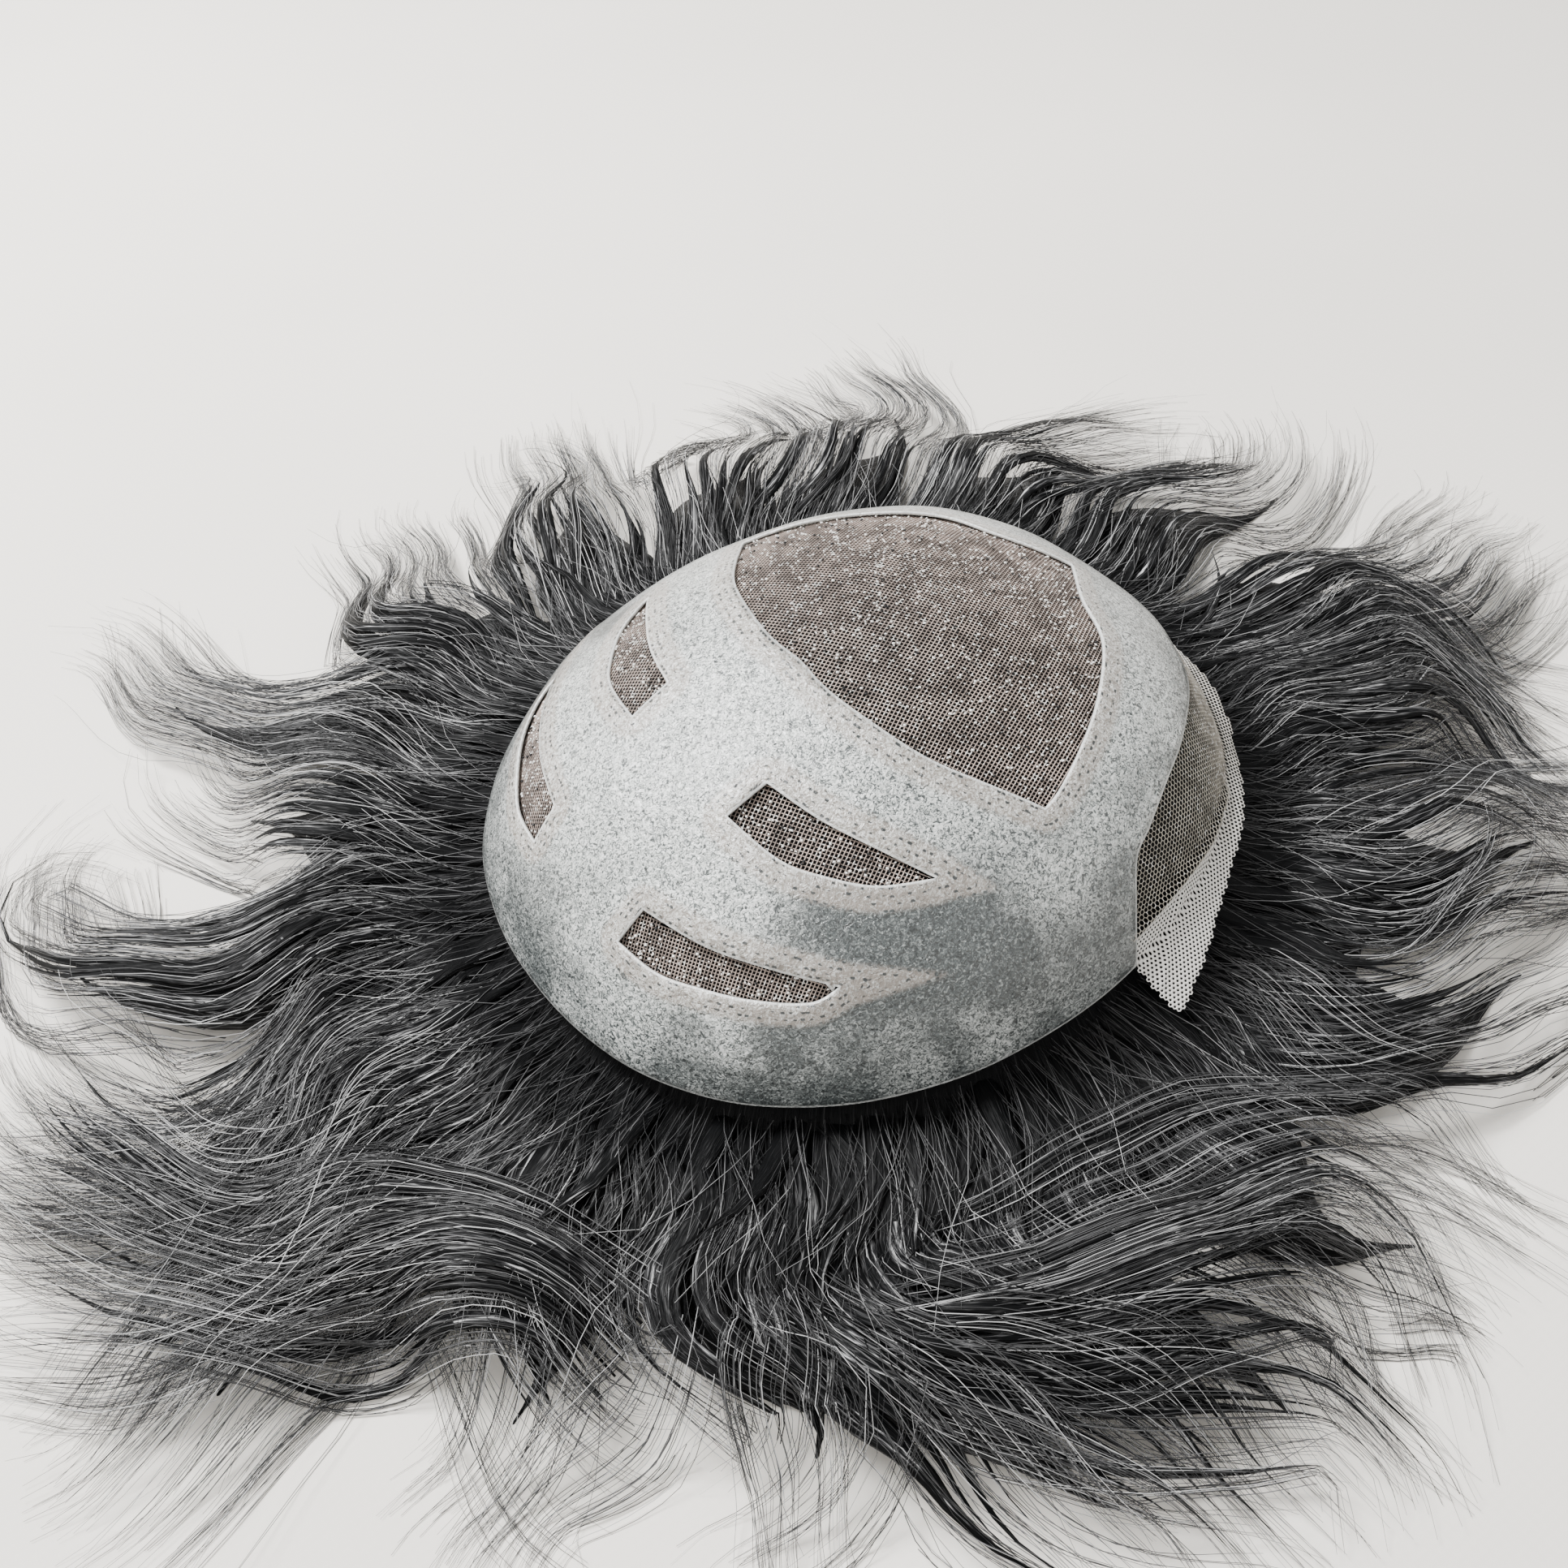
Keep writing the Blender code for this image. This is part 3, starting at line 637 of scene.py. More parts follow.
def new_piece(name, points, quads, material, triangles=None, uv=None, values=None):
    """A mesh piece from whole arrays: its points, faces, pattern coordinates and point values."""
    triangles = np.empty((0, 3), int) if triangles is None else np.asarray(triangles)
    quads = np.empty((0, 4), int) if quads is None else np.asarray(quads)
    corners = np.concatenate((quads.ravel(), triangles.ravel())).astype(np.int32)
    starts = np.concatenate((4 * np.arange(len(quads)), 4 * len(quads) + 3 * np.arange(len(triangles))))
    mesh = bpy.data.meshes.new(name)
    mesh.vertices.add(len(points))
    mesh.vertices.foreach_set("co", np.ascontiguousarray(points, dtype=np.float32).ravel())
    mesh.loops.add(len(corners))
    mesh.loops.foreach_set("vertex_index", corners)
    mesh.polygons.add(len(starts))
    mesh.polygons.foreach_set("loop_start", starts.astype(np.int32))
    mesh.update(calc_edges=True)
    mesh.polygons.foreach_set("use_smooth", np.ones(len(starts), dtype=bool))
    if uv is not None:
        layer = mesh.uv_layers.new(name="pattern")
        layer.uv.foreach_set("vector", uv[corners].astype(np.float32).ravel())
    for key, value in (values or {}).items():
        attribute = mesh.attributes.new(key, "FLOAT", "POINT")
        attribute.data.foreach_set("value", value.astype(np.float32))
    mesh.materials.append(material)
    piece = bpy.data.objects.new(name, mesh)
    bpy.context.scene.collection.objects.link(piece)
    return piece


def add_node(tree, kind, inputs=None, **fields):
    """Adds a node with its fields set, and each named input set to a value or linked from a socket."""
    node = tree.nodes.new(kind)
    for key, value in fields.items():
        setattr(node, key, value)
    for key, value in (inputs or {}).items():
        if isinstance(value, bpy.types.NodeSocket):
            tree.links.new(value, node.inputs[key])
        else:
            node.inputs[key].default_value = value
    return node


def ramp(tree, factor, stops):
    """A colour ramp over a factor, from a list of places and linear colours."""
    node = add_node(tree, "ShaderNodeValToRGB", {"Fac": factor})
    elements = node.color_ramp.elements
    while len(elements) < len(stops):
        elements.new(0.5)
    for element, (place, value) in zip(elements, stops):
        element.position = place
        element.color = (*value[:3], 1.0)
    return node.outputs["Color"]


def mixed(tree, factor, first, second):
    """One colour laid over another by a factor."""
    node = add_node(tree, "ShaderNodeMix", data_type="RGBA")
    for place, value in ((0, factor), (6, first), (7, second)):
        if isinstance(value, bpy.types.NodeSocket):
            tree.links.new(value, node.inputs[place])
        else:
            node.inputs[place].default_value = (*value, 1.0) if place else value
    return node.outputs[2]


def dimmed(tint, share):
    """A linear colour times a share."""
    return [share * channel for channel in tint]


def step_over(tree, value, start, end, low=0.0, high=1.0):
    """A value mapped from its own range to a new one, smoothly and held at the ends."""
    node = add_node(tree, "ShaderNodeMapRange", {"Value": value, "From Min": start, "From Max": end,
                                                 "To Min": low, "To Max": high},
                    interpolation_type="SMOOTHSTEP")
    return node.outputs["Result"]


def new_material(name, roughness, ior=1.5):
    """A node material with its Principled shader, whose uniform values stand on its own sockets."""
    material = bpy.data.materials.new(name)
    material.use_nodes = True
    shader = material.node_tree.nodes["Principled BSDF"]
    shader.inputs["Roughness"].default_value = roughness
    shader.inputs["IOR"].default_value = ior
    return material, material.node_tree, shader


def finish_shader(tree, shader, hue, height=None, strength=0.0, distance=0.0):
    """Gives the shader its colour and, where there is a height, a bump's normal, which is returned."""
    tree.links.new(hue, shader.inputs["Base Color"])
    if height is None:
        return None
    bump = add_node(tree, "ShaderNodeBump", {"Height": height, "Strength": strength, "Distance": distance})
    tree.links.new(bump.outputs["Normal"], shader.inputs["Normal"])
    return bump.outputs["Normal"]


def poly_film_material():
    """Poured polyurethane film over dark hair: strands under it show as a pale, worm-like mottle; a painted
    highlight at the crown.
    """
    base, _, tint = settings()
    material, tree, shader = new_material("poured_poly_film", 0.30, 1.5)
    shader.inputs["Coat Weight"].default_value = 0.9
    shader.inputs["Coat Roughness"].default_value = 0.22
    place = add_node(tree, "ShaderNodeTexCoord").outputs["Object"]
    # the third attribute is the hair's closeness less a painted highlight at the crown
    edge, band_at, press_and_highlight = (add_node(tree, "ShaderNodeAttribute", attribute_name=key).outputs["Fac"]
                            for key in ("edge_mm", "band_mm", "hair_close_and_highlight"))
    # mottle of 1 mm, the width of a few strands seen through the film, and clouds of 18 mm
    fleck = add_node(tree, "ShaderNodeTexNoise", {"Vector": place, "Scale": 1000.0, "Detail": 2.0,
                                                  "Roughness": 0.55, "Distortion": 1.6}).outputs["Fac"]
    cloud = add_node(tree, "ShaderNodeTexNoise", {"Vector": place, "Scale": 55.0, "Detail": 4.0,
                                                  "Roughness": 0.45}).outputs["Fac"]
    # crinkles of 2.4 mm in the poured surface, and stitches 1.6 mm apart
    crinkle = add_node(tree, "ShaderNodeTexNoise", {"Vector": place, "Scale": 420.0, "Detail": 3.0,
                                                    "Distortion": 1.5}).outputs["Fac"]
    dash = add_node(tree, "ShaderNodeTexVoronoi", {"Vector": place, "Scale": 620.0, "Randomness": 0.6})
    deep = dimmed(tint.film_dark, 0.35)
    light = ramp(tree, fleck, ((0.30, deep), (0.41, tint.film_dark), (0.50, tint.film),
                               (0.62, tint.film_fleck)))
    dark = ramp(tree, fleck, ((0.38, deep), (0.56, tint.film_dark), (0.80, tint.film)))
    # darker where the hair lies close and in clouds, lighter at the crown's painted highlight
    near = add_node(tree, "ShaderNodeMath", {0: press_and_highlight, 1: step_over(tree, cloud, 0.34, 0.68, -0.12, 0.48)},
                    operation="ADD").outputs[0]
    film = mixed(tree, step_over(tree, near, 0.25, 1.35), light, dark)
    row = add_node(tree, "ShaderNodeMath", {0: band_at, 1: 0.85}, operation="PINGPONG").outputs[0]
    dot = step_over(tree, dash.outputs["Distance"], 0.30, 0.44, 1.0, 0.0)
    dots = add_node(tree, "ShaderNodeMath", {0: dot, 1: step_over(tree, row, 0.40, 0.62)},
                    operation="MULTIPLY")
    pale = mixed(tree, step_over(tree, fleck, 0.45, 0.72, 0.0, 0.7), tint.band, tint.film_fleck)
    band = mixed(tree, dots.outputs[0], mixed(tree, 0.62, film, pale), deep)
    width = base.band_width * 1000.0
    film = mixed(tree, step_over(tree, band_at, width - 1.0, width + 1.0, 1.0, 0.0), film, band)
    film = mixed(tree, step_over(tree, edge, 0.25, 0.7, 0.85, 0.0), film, tint.film_fleck)
    height = add_node(tree, "ShaderNodeMath", {0: fleck, 1: 0.3, 2: crinkle}, operation="MULTIPLY_ADD")
    normal = finish_shader(tree, shader, film, height.outputs[0], 0.8, 0.0007)
    tree.links.new(normal, shader.inputs["Coat Normal"])
    return material


def net_material():
    """Woven polyester mono net, flesh brown: dull threads with a slight change from one to the next."""
    tint = settings()[2]
    material, tree, shader = new_material("woven_mono_net", 0.6, 1.5)
    place = add_node(tree, "ShaderNodeTexCoord").outputs["Object"]
    worn = add_node(tree, "ShaderNodeTexNoise", {"Vector": place, "Scale": 160.0, "Detail": 3.0})
    dark = dimmed(tint.net, 0.45)
    thread = mixed(tree, step_over(tree, worn.outputs["Fac"], 0.35, 0.65), dark, tint.net)
    # knots of 0.8 mm, drawn on the threads between the beads
    tied = add_node(tree, "ShaderNodeTexNoise", {"Vector": place, "Scale": 750.0, "Detail": 1.0})
    knots = step_over(tree, tied.outputs["Fac"], 0.61, 0.67)
    finish_shader(tree, shader, mixed(tree, knots, thread, tint.knot))
    return material


def knot_material():
    """Ventilating knots: tight twists of pale and dark hair tied through the net."""
    tint = settings()[2]
    material, tree, shader = new_material("tied_knots", 0.45, 1.5)
    shade = add_node(tree, "ShaderNodeAttribute", attribute_name="shade").outputs["Fac"]
    finish_shader(tree, shader, ramp(tree, shade, ((0.0, tint.hair_dark), (1.0, tint.knot))))
    return material


def lace_material():
    """Knitted hexagon lace: fine nylon threads, paler where the sheet lies double at its raw edge."""
    tint = settings()[2]
    material, tree, shader = new_material("knitted_hexagon_lace", 0.55, 1.5)
    raw = add_node(tree, "ShaderNodeAttribute", attribute_name="raw_edge").outputs["Fac"]
    place = add_node(tree, "ShaderNodeTexCoord").outputs["Object"]
    worn = add_node(tree, "ShaderNodeTexNoise", {"Vector": place, "Scale": 220.0, "Detail": 3.0})
    shaded = dimmed(tint.lace, 0.55)
    thread = mixed(tree, step_over(tree, worn.outputs["Fac"], 0.3, 0.65), shaded, tint.lace)
    # knots of 0.7 mm, each on a thread or two
    tied = add_node(tree, "ShaderNodeTexNoise", {"Vector": place, "Scale": 900.0, "Detail": 1.0})
    thread = mixed(tree, step_over(tree, tied.outputs["Fac"], 0.60, 0.66), thread, tint.knot)
    finish_shader(tree, shader, mixed(tree, raw, thread, tint.knot))
    return material


def strand_material():
    """Human hair strands, near black with grey and silver ones: smooth cuticle, a narrow shine."""
    tint = settings()[2]
    material, tree, shader = new_material("greying_hair_strands", 0.38, 1.5)
    shader.inputs["Specular IOR Level"].default_value = 0.4
    shade = add_node(tree, "ShaderNodeAttribute", attribute_name="shade").outputs["Fac"]
    hue = ramp(tree, shade, ((0.0, tint.hair_dark), (0.45, tint.hair_grey), (1.0, tint.hair_silver)))
    finish_shader(tree, shader, hue)
    return material


def bundle_material():
    """Hair lying close in bundles: fine lengthwise streaks of dark, grey and silver strands."""
    tint = settings()[2]
    material, tree, shader = new_material("close_hair_bundles", 0.5, 1.5)
    shader.inputs["Specular IOR Level"].default_value = 0.12
    along = add_node(tree, "ShaderNodeUVMap", uv_map="pattern").outputs["UV"]
    stretch = add_node(tree, "ShaderNodeMapping", {"Vector": along, "Scale": (1.0, 0.025, 1.0)})
    # a streak every 0.5 mm across, drawn coarser than the real strands so that it shows
    streak = add_node(tree, "ShaderNodeTexNoise", {"Vector": stretch.outputs["Vector"], "Scale": 2.0,
                                                   "Detail": 3.0, "Roughness": 0.75}).outputs["Fac"]
    # wisps of 3 mm, with painted shade in the hollows between them
    wisp = add_node(tree, "ShaderNodeTexNoise", {"Vector": stretch.outputs["Vector"], "Scale": 0.35,
                                                 "Detail": 1.0}).outputs["Fac"]
    shaded = add_node(tree, "ShaderNodeAttribute", attribute_name="shaded").outputs["Fac"]
    deep = dimmed(tint.hair_dark, 0.5)
    dim = dimmed(tint.hair_grey, 0.30)
    hue = ramp(tree, streak, ((0.44, deep), (0.51, tint.hair_dark), (0.55, dim), (0.60, tint.hair_grey),
                              (0.67, tint.hair_silver)))
    hue = mixed(tree, step_over(tree, wisp, 0.42, 0.58, 0.9, 0.0), hue, deep)
    hue = mixed(tree, step_over(tree, shaded, 0.0, 1.0, 0.0, 0.93), hue, deep)
    finish_shader(tree, shader, hue, streak, 1.0, 0.0008)
    return material


def table_material():
    """Pale non-woven table cover: a soft matt surface with a faint embossed grid."""
    tint = settings()[2]
    material, tree, shader = new_material("pale_table_cover", 0.85, 1.45)
    place = add_node(tree, "ShaderNodeTexCoord").outputs["Object"]
    soft = add_node(tree, "ShaderNodeTexNoise", {"Vector": place, "Scale": 3.0, "Detail": 3.0})
    dull = dimmed(tint.table, 0.93)
    hue = mixed(tree, step_over(tree, soft.outputs["Fac"], 0.3, 0.7), dull, tint.table)
    # an embossed dot every 2.4 mm
    emboss = add_node(tree, "ShaderNodeTexVoronoi", {"Vector": place, "Scale": 420.0, "Randomness": 0.15})
    finish_shader(tree, shader, hue, emboss.outputs["Distance"], 0.12, 0.0005)
    return material


def ring_quads(rings, sides):
    """Quads between rings of points that follow one another, each ring closed on itself."""
    here = np.arange((rings - 1) * sides).reshape(rings - 1, sides)
    there = np.roll(here, -1, axis=1)
    return np.stack((here, here + sides, there + sides, there), axis=-1).reshape(-1, 4)


def tubes(paths, radii, sides, flat=1.0):
    """Closed tubes along many paths: ovals across each path's tangent, a flat root and a pointed tip.

    Paths is strands by stations by three, radii strands by stations. An oval's half width lies level
    across the path and its half height, flat times that, stands on it.
    """
    count, stations = radii.shape
    ahead = unit(np.gradient(paths, axis=1))
    level = unit(np.cross(ahead, (0.0, 0.0, 1.0)))
    over = np.cross(level, ahead)
    turns = 2.0 * math.pi * (np.arange(sides) + 0.5) / sides
    oval = np.cos(turns)[:, None] * level[:, :, None] + flat * np.sin(turns)[:, None] * over[:, :, None]
    rings = paths[:, :, None] + radii[:, :, None, None] * oval
    tips = paths[:, -1] + ahead[:, -1] * radii[:, -1:]
    points = np.concatenate((rings.reshape(count, -1, 3), tips[:, None]), axis=1)
    each = stations * sides + 1
    first = each * np.arange(count)[:, None]
    quads = (first[..., None] + ring_quads(stations, sides)).reshape(-1, 4)
    side = np.arange(sides)
    last = first + (stations - 1) * sides
    tip = np.broadcast_to(first + each - 1, (count, sides))
    ends = np.stack((last + side, tip, last + (side + 1) % sides), axis=-1).reshape(-1, 3)
    fan = np.arange(1, sides - 1)
    root = np.broadcast_to(first, (count, sides - 2))
    caps = np.stack((root, root + fan, root + fan + 1), axis=-1).reshape(-1, 3)
    return points.reshape(-1, 3), quads, np.vstack((ends, caps)), each


def tube_uv(paths, radii, sides, flat):
    """Each tube's pattern coordinates, in millimetres round it and along it, offset for each tube."""
    count = len(radii)
    run = np.linalg.norm(np.diff(paths, axis=1), axis=2)
    along = np.concatenate((np.zeros((count, 1)), np.cumsum(run, axis=1)), axis=1)
    middle = np.abs(2.0 * np.arange(sides) / sides - 1.0)
    round_it = math.pi * 0.5 * (1.0 + flat) * radii.mean(axis=1)
    across = (round_it[:, None] * middle)[:, None, :] + 0.037 * np.arange(count)[:, None, None]
    uv = np.stack(np.broadcast_arrays(across, along[:, :, None] + 0.31 * np.arange(count)[:, None, None]),
                  axis=-1)
    tips = uv[:, -1, 0]
    return 1000.0 * np.concatenate((uv.reshape(count, -1, 2), tips[:, None]), axis=1).reshape(-1, 2)


def rim_radius(angle):
    """The rim's distance from the dome's middle in plan, at a true angle: the superellipse."""
    base = settings()[0]
    cosine, sine = np.abs(np.cos(angle)) / base.half_length, np.abs(np.sin(angle)) / base.half_width
    return (cosine ** base.plan_power + sine ** base.plan_power) ** (-1.0 / base.plan_power)


def rim_level(angle):
    """The rim's height over the table, at a true angle."""
    base = settings()[0]
    return base.rim_height + rim_radius(angle) * np.cos(angle) * math.sin(base.lift)


def past_rim(points):
    """How far points lie past the rim in plan, and their angles about the dome's middle."""
    out = points[..., :2] - dome_middle()
    angle = np.arctan2(out[..., 1], out[..., 0])
    return np.hypot(out[..., 0], out[..., 1]) - rim_radius(angle), angle


def at_ways(ways, line_ways, spots):
    """A line's plan spots, or its directions, at other ways along it."""
    return np.stack([np.interp(ways, line_ways, spots[:, axis]) for axis in (0, 1)], axis=-1)


def even_line(spots):
    """A smooth plan curve through spots, with its places spaced evenly, and its length."""
    fine = smooth_run(spots, 16)
    lengths = np.concatenate(((0.0,), np.cumsum(np.linalg.norm(np.diff(fine, axis=0), axis=1))))
    ways = np.linspace(0.0, 1.0, LINE_STEPS + 1) * lengths[-1]
    return at_ways(ways, lengths, fine), lengths[-1]


def plan_spots(places):
    """Plan spots from angles in degrees and reaches past the rim, about the dome's middle."""
    angles = np.radians([angle for angle, _ in places])
    radii = rim_radius(angles) + settings()[1].reach * np.array([reach for _, reach in places])
    return np.column_stack((radii * np.cos(angles), radii * np.sin(angles)))


def across_line(path):
    """The level direction across a plan path, to its left."""
    ahead = unit(np.gradient(path, axis=0))
    return np.column_stack((-ahead[:, 1], ahead[:, 0]))


def lock_line(row, number):
    """A lock's plan curve, smooth through its four places with a swing across it, then its loose curl.

    Returns the way along, the place and the level direction across.
    """
    spots = plan_spots(row[1:5])
    root = spots[0] - (spots[1] - spots[0]) * LOCK_ROOT_RUN
    path, run = even_line(np.vstack((root, spots)))
    ways = np.linspace(0.0, 1.0, LINE_STEPS + 1)
    swing = LOCK_SWING * ways * np.sin(2.0 * math.pi * (LOCK_WAVES * ways + 0.37 * number))
    path = path + across_line(path) * swing[:, None]
    more = np.arange(1, PAST_STEPS + 1) / LINE_STEPS
    heading = math.atan2(*(path[-1] - path[-3])[::-1]) + math.radians(row[7]) * more / more[-1]
    steps = np.column_stack((np.cos(heading), np.sin(heading))) * run / LINE_STEPS
    path = np.vstack((path, path[-1] + np.cumsum(steps, axis=0)))
    return np.concatenate((ways, 1.0 + more)), path + dome_middle(), across_line(path)


def sweep_line(row):
    """A sweep's plan curve: the way along, the place and the level direction across."""
    path = even_line(plan_spots(row[0]))[0]
    steps = path[-1] + np.arange(1, PAST_STEPS + 1)[:, None] * (path[-1] - path[-2])
    path = np.vstack((path, steps))
    return np.arange(len(path)) / LINE_STEPS, path + dome_middle(), across_line(path)


def lock_oval(row, way):
    """A lock's half width and its loft at ways along it."""
    hair = settings()[1]
    wide, high = (np.interp(way, LOCK_SHAPE[:, 0], LOCK_SHAPE[:, column]) for column in (1, 2))
    return 0.5 * hair.lock_width * row[5] * wide, hair.loft * row[6] * high


def ease(value, start, end):
    """A smooth step from nought to one between two values."""
    way = np.clip((value - start) / (end - start), 0.0, 1.0)
    return way * way * (3.0 - 2.0 * way)


def body_wave(plan):
    """The body wave's phase and size at plan points: a turn each wave length past the rim.

    The phase also drifts slowly round the rim, as a sum of two sines of the angle.
    """
    past, angle = past_rim(plan)
    drift = 0.8 * np.sin(3.0 * angle + 0.5), 0.5 * np.sin(5.0 * angle)
    phase = 2.0 * math.pi * past / settings()[1].wave_length + drift[0] + drift[1]
    size = (0.25 + 0.75 * ease(past, 0.005, 0.03)) * (1.0 - 0.7 * ease(past, 0.075, 0.13))
    return phase, size


def ended_in(paths, draws):
    """Paths ended before they leave the hair's room, each spread again over what is left of it.

    The room is the hair's box, a little larger or smaller for each path so that no edge shows.
    """
    half = np.array(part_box("hair"))[1, :2]
    count, stations = paths.shape[:2]
    spare = ROOM_SPARE - ROOM_RAGGED * draws.random(count) ** 2
    over = np.max(np.abs(paths[..., :2]) - half, axis=-1) - spare[:, None]
    gone = over > 0.0
    last = np.where(gone.any(axis=1), np.maximum(np.argmax(gone, axis=1) - 1, 0), stations - 1)
    after = np.minimum(last + 1, stations - 1)
    each = np.arange(count)
    here, there = over[each, last], over[each, after]
    part = np.where(after > last, np.clip(-here / np.maximum(there - here, 1e-6), 0.0, 1.0), 0.0)
    spots = np.maximum(last + part, 0.6)[:, None] * np.linspace(0.0, 1.0, stations)
    cell = np.minimum(spots.astype(int), stations - 2)
    way = (spots - cell)[..., None]
    return paths[each[:, None], cell] * (1.0 - way) + paths[each[:, None], cell + 1] * way


def hair_tops():
    """The hair's top over the table on an even grid: the highest of all the locks' ovals and the body.

    A lock's oval stands on LOCK_MIDDLE of its loft and leans by LOCK_TILT. The grid is then smoothed
    by three passes of a mean over each cell and its neighbours.
    """
    hair = settings()[1]
    low, high = np.array(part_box("hair"))
    start = low[:2] - 0.03
    shape = np.ceil((high[:2] + 0.03 - start) / TOPS_CELL).astype(int) + 1
    sides = (np.arange(size) * TOPS_CELL for size in shape)
    past, angle = past_rim(np.stack(np.meshgrid(*sides, indexing="ij"), axis=-1) + start)
    tops = np.where(past < hair.body_width, body_top(past, angle), 0.0)
    way, part = np.meshgrid(np.linspace(0.0, 1.0, 160), np.linspace(-1.0, 1.0, 41), indexing="ij")
    for number, row in enumerate(LOCKS):
        ways, path, aside = lock_line(row, number)
        half, loft = lock_oval(row, way)
        oval = loft * (LOCK_MIDDLE + (1.0 - LOCK_MIDDLE) * np.sqrt(1.0 - part ** 2)) + LOCK_TILT * half * part
        plan = at_ways(way, ways, path) + (half * part)[..., None] * at_ways(way, ways, aside)
        cell = np.rint((plan - start) / TOPS_CELL).astype(int).reshape(-1, 2)
        np.maximum.at(tops, (cell[:, 0], cell[:, 1]), oval.ravel())
    for _ in range(3):
        for axis in (0, 1):
            tops = (np.roll(tops, 1, axis) + tops + np.roll(tops, -1, axis)) / 3.0
    return start, tops


def top_at(tops, plan):
    """The hair's top at plan points, even between the grid's four nearest values.

    By the rim it stays under the film: the cap rises by two thirds of the distance past the rim.
    """
    start, values = tops
    spot = np.clip((plan - start) / TOPS_CELL, 0.0, np.array(values.shape) - 1.001)
    cell = spot.astype(int)
    way = spot - cell
    x, y = cell[..., 0], cell[..., 1]
    near = values[x, y] * (1.0 - way[..., 1]) + values[x, y + 1] * way[..., 1]
    far = values[x + 1, y] * (1.0 - way[..., 1]) + values[x + 1, y + 1] * way[..., 1]
    past, angle = past_rim(plan)
    cap = rim_level(angle) - UNDER_RIM + RIM_RISE * np.maximum(past - RIM_FREE, 0.0)
    return np.minimum(near * (1.0 - way[..., 0]) + far * way[..., 0], cap)


def spread_strands(line, widest, count, ways, draws, tops, sunk, stray=0.07, raised=0.0):
    """Strands along a line: spread across it, drawn together in clumps and fanned out at their ends.

    They lie on the hair's top, sunk into it by up to a depth and more at their own start, and raised
    between their ends by half a sine. The body wave adds a sine across the strand and a cosine up.
    """
    hair = settings()[1]
    place, over = (at_ways(ways, line[0], spots) for spots in line[1:])
    share = draws.uniform(-1.0, 1.0, count)
    middles = 2.0 * (np.arange(CLUMPS) + 0.5) / CLUMPS - 1.0 + draws.normal(0.0, 0.12, CLUMPS)
    clump = np.argmin(np.abs(share[:, None] - middles), axis=1)
    gather = draws.uniform(0.3, 0.9, count)[:, None] * ease(ways, 0.35, 1.0)
    across = share[:, None] * (1.0 - gather) + middles[clump][:, None] * gather
    offset = widest * across * np.interp(ways, STRAND_SPREAD[:, 0], STRAND_SPREAD[:, 1])
    fan = widest * (0.09 * draws.normal(0.0, 1.0, CLUMPS) + 0.38 * middles)[clump]
    loose = draws.random(count) < stray
    drift = fan + np.where(loose, draws.normal(0.0, 0.016, count), draws.normal(0.0, 0.0025, count))
    offset = offset + drift[:, None] * ease(ways, 0.4, 1.25) * ways
    plan = place + over * offset[..., None]
    phase, size = body_wave(plan)
    size = size * draws.normal(1.0, 0.12, count)[:, None]
    phase = phase + draws.normal(0.0, 0.16, count)[:, None]
    plan = plan + over * (hair.wave_swing * size * np.sin(phase))[..., None]
    lift = np.where(loose, np.abs(draws.normal(0.0, 0.007, count)), np.abs(draws.normal(0.0, 0.001, count)))
    depth = sunk * draws.random(count)[:, None] ** 2.0
    own = np.linspace(0.0, 1.0, ways.shape[-1])
    rooted = ROOT_DIP * (1.0 - ease(own, 0.0, 0.22)) - raised * np.sin(math.pi * own)
    wave = WAVE_LIFT * size * np.cos(phase)
    height = top_at(tops, plan) - depth - rooted + lift[:, None] * ways ** 2 + wave
    height = np.maximum(height, hair.strand * (1.0 + draws.random(count)[:, None]))
    return ended_in(np.concatenate((plan, height[..., None]), axis=-1), draws)


def body_top(past, angle):
    """Height of the hair's body past the rim: down from under the rim, then through BODY_TOP's rows."""
    hair = settings()[1]
    rows = np.array(((-0.3, 0.45), (0.0, 0.5)) + BODY_TOP)
    outer = hair.loft * np.interp(past / hair.body_width, rows[:, 0], rows[:, 1])
    rise = 1.0 - ease(past, 0.003, 0.016)
    return outer + (np.maximum(rim_level(angle) - BODY_UNDER_RIM, outer) - outer) * rise


def in_sector(angle, low, high):
    """Whether a root's angle lies in a sector, whose angles run from 40 to 400 degrees."""
    return low <= (angle - 40.0) % 360.0 + 40.0 < high


def strand_ways(draws, count, stations, first, last, held):
    """Ways along a line for each strand: even from a drawn start to a drawn end, held in a range."""
    start = draws.uniform(*first, count)[:, None]
    end = np.clip(draws.normal(*last, count), *held)[:, None]
    return start + (end - start) * np.linspace(0.0, 1.0, stations)


def rim_strands(low, high, count, stations, draws, tops, root, longest):
    """Short strands that leave from under the rim and lie over the hair's body between the locks."""
    hair = settings()[1]
    angle = np.radians(draws.uniform(low, high, count))[:, None]
    way = np.linspace(0.0, 1.0, stations)
    reach = draws.uniform(0.5, 1.0, count)[:, None] * longest
    past = -root + (reach + root) * way
    turn = draws.normal(0.0, 0.13, count)[:, None] * way ** 1.5
    spoke = angle + turn
    radius = rim_radius(spoke) + past
    plan = np.stack((radius * np.cos(spoke), radius * np.sin(spoke)), axis=-1) + dome_middle()
    phase, size = body_wave(plan)
    phase = phase + draws.normal(0.0, 0.16, count)[:, None]
    aside = np.stack((-np.sin(spoke), np.cos(spoke)), axis=-1)
    plan = plan + aside * (hair.wave_swing * size * np.sin(phase))[..., None]
    spread = draws.uniform(-0.0015, 0.0015, count)[:, None]
    height = top_at(tops, plan) + spread + RIM_WAVE_LIFT * size * np.cos(phase)
    return np.concatenate((plan, np.maximum(height, hair.strand)[..., None]), axis=-1)


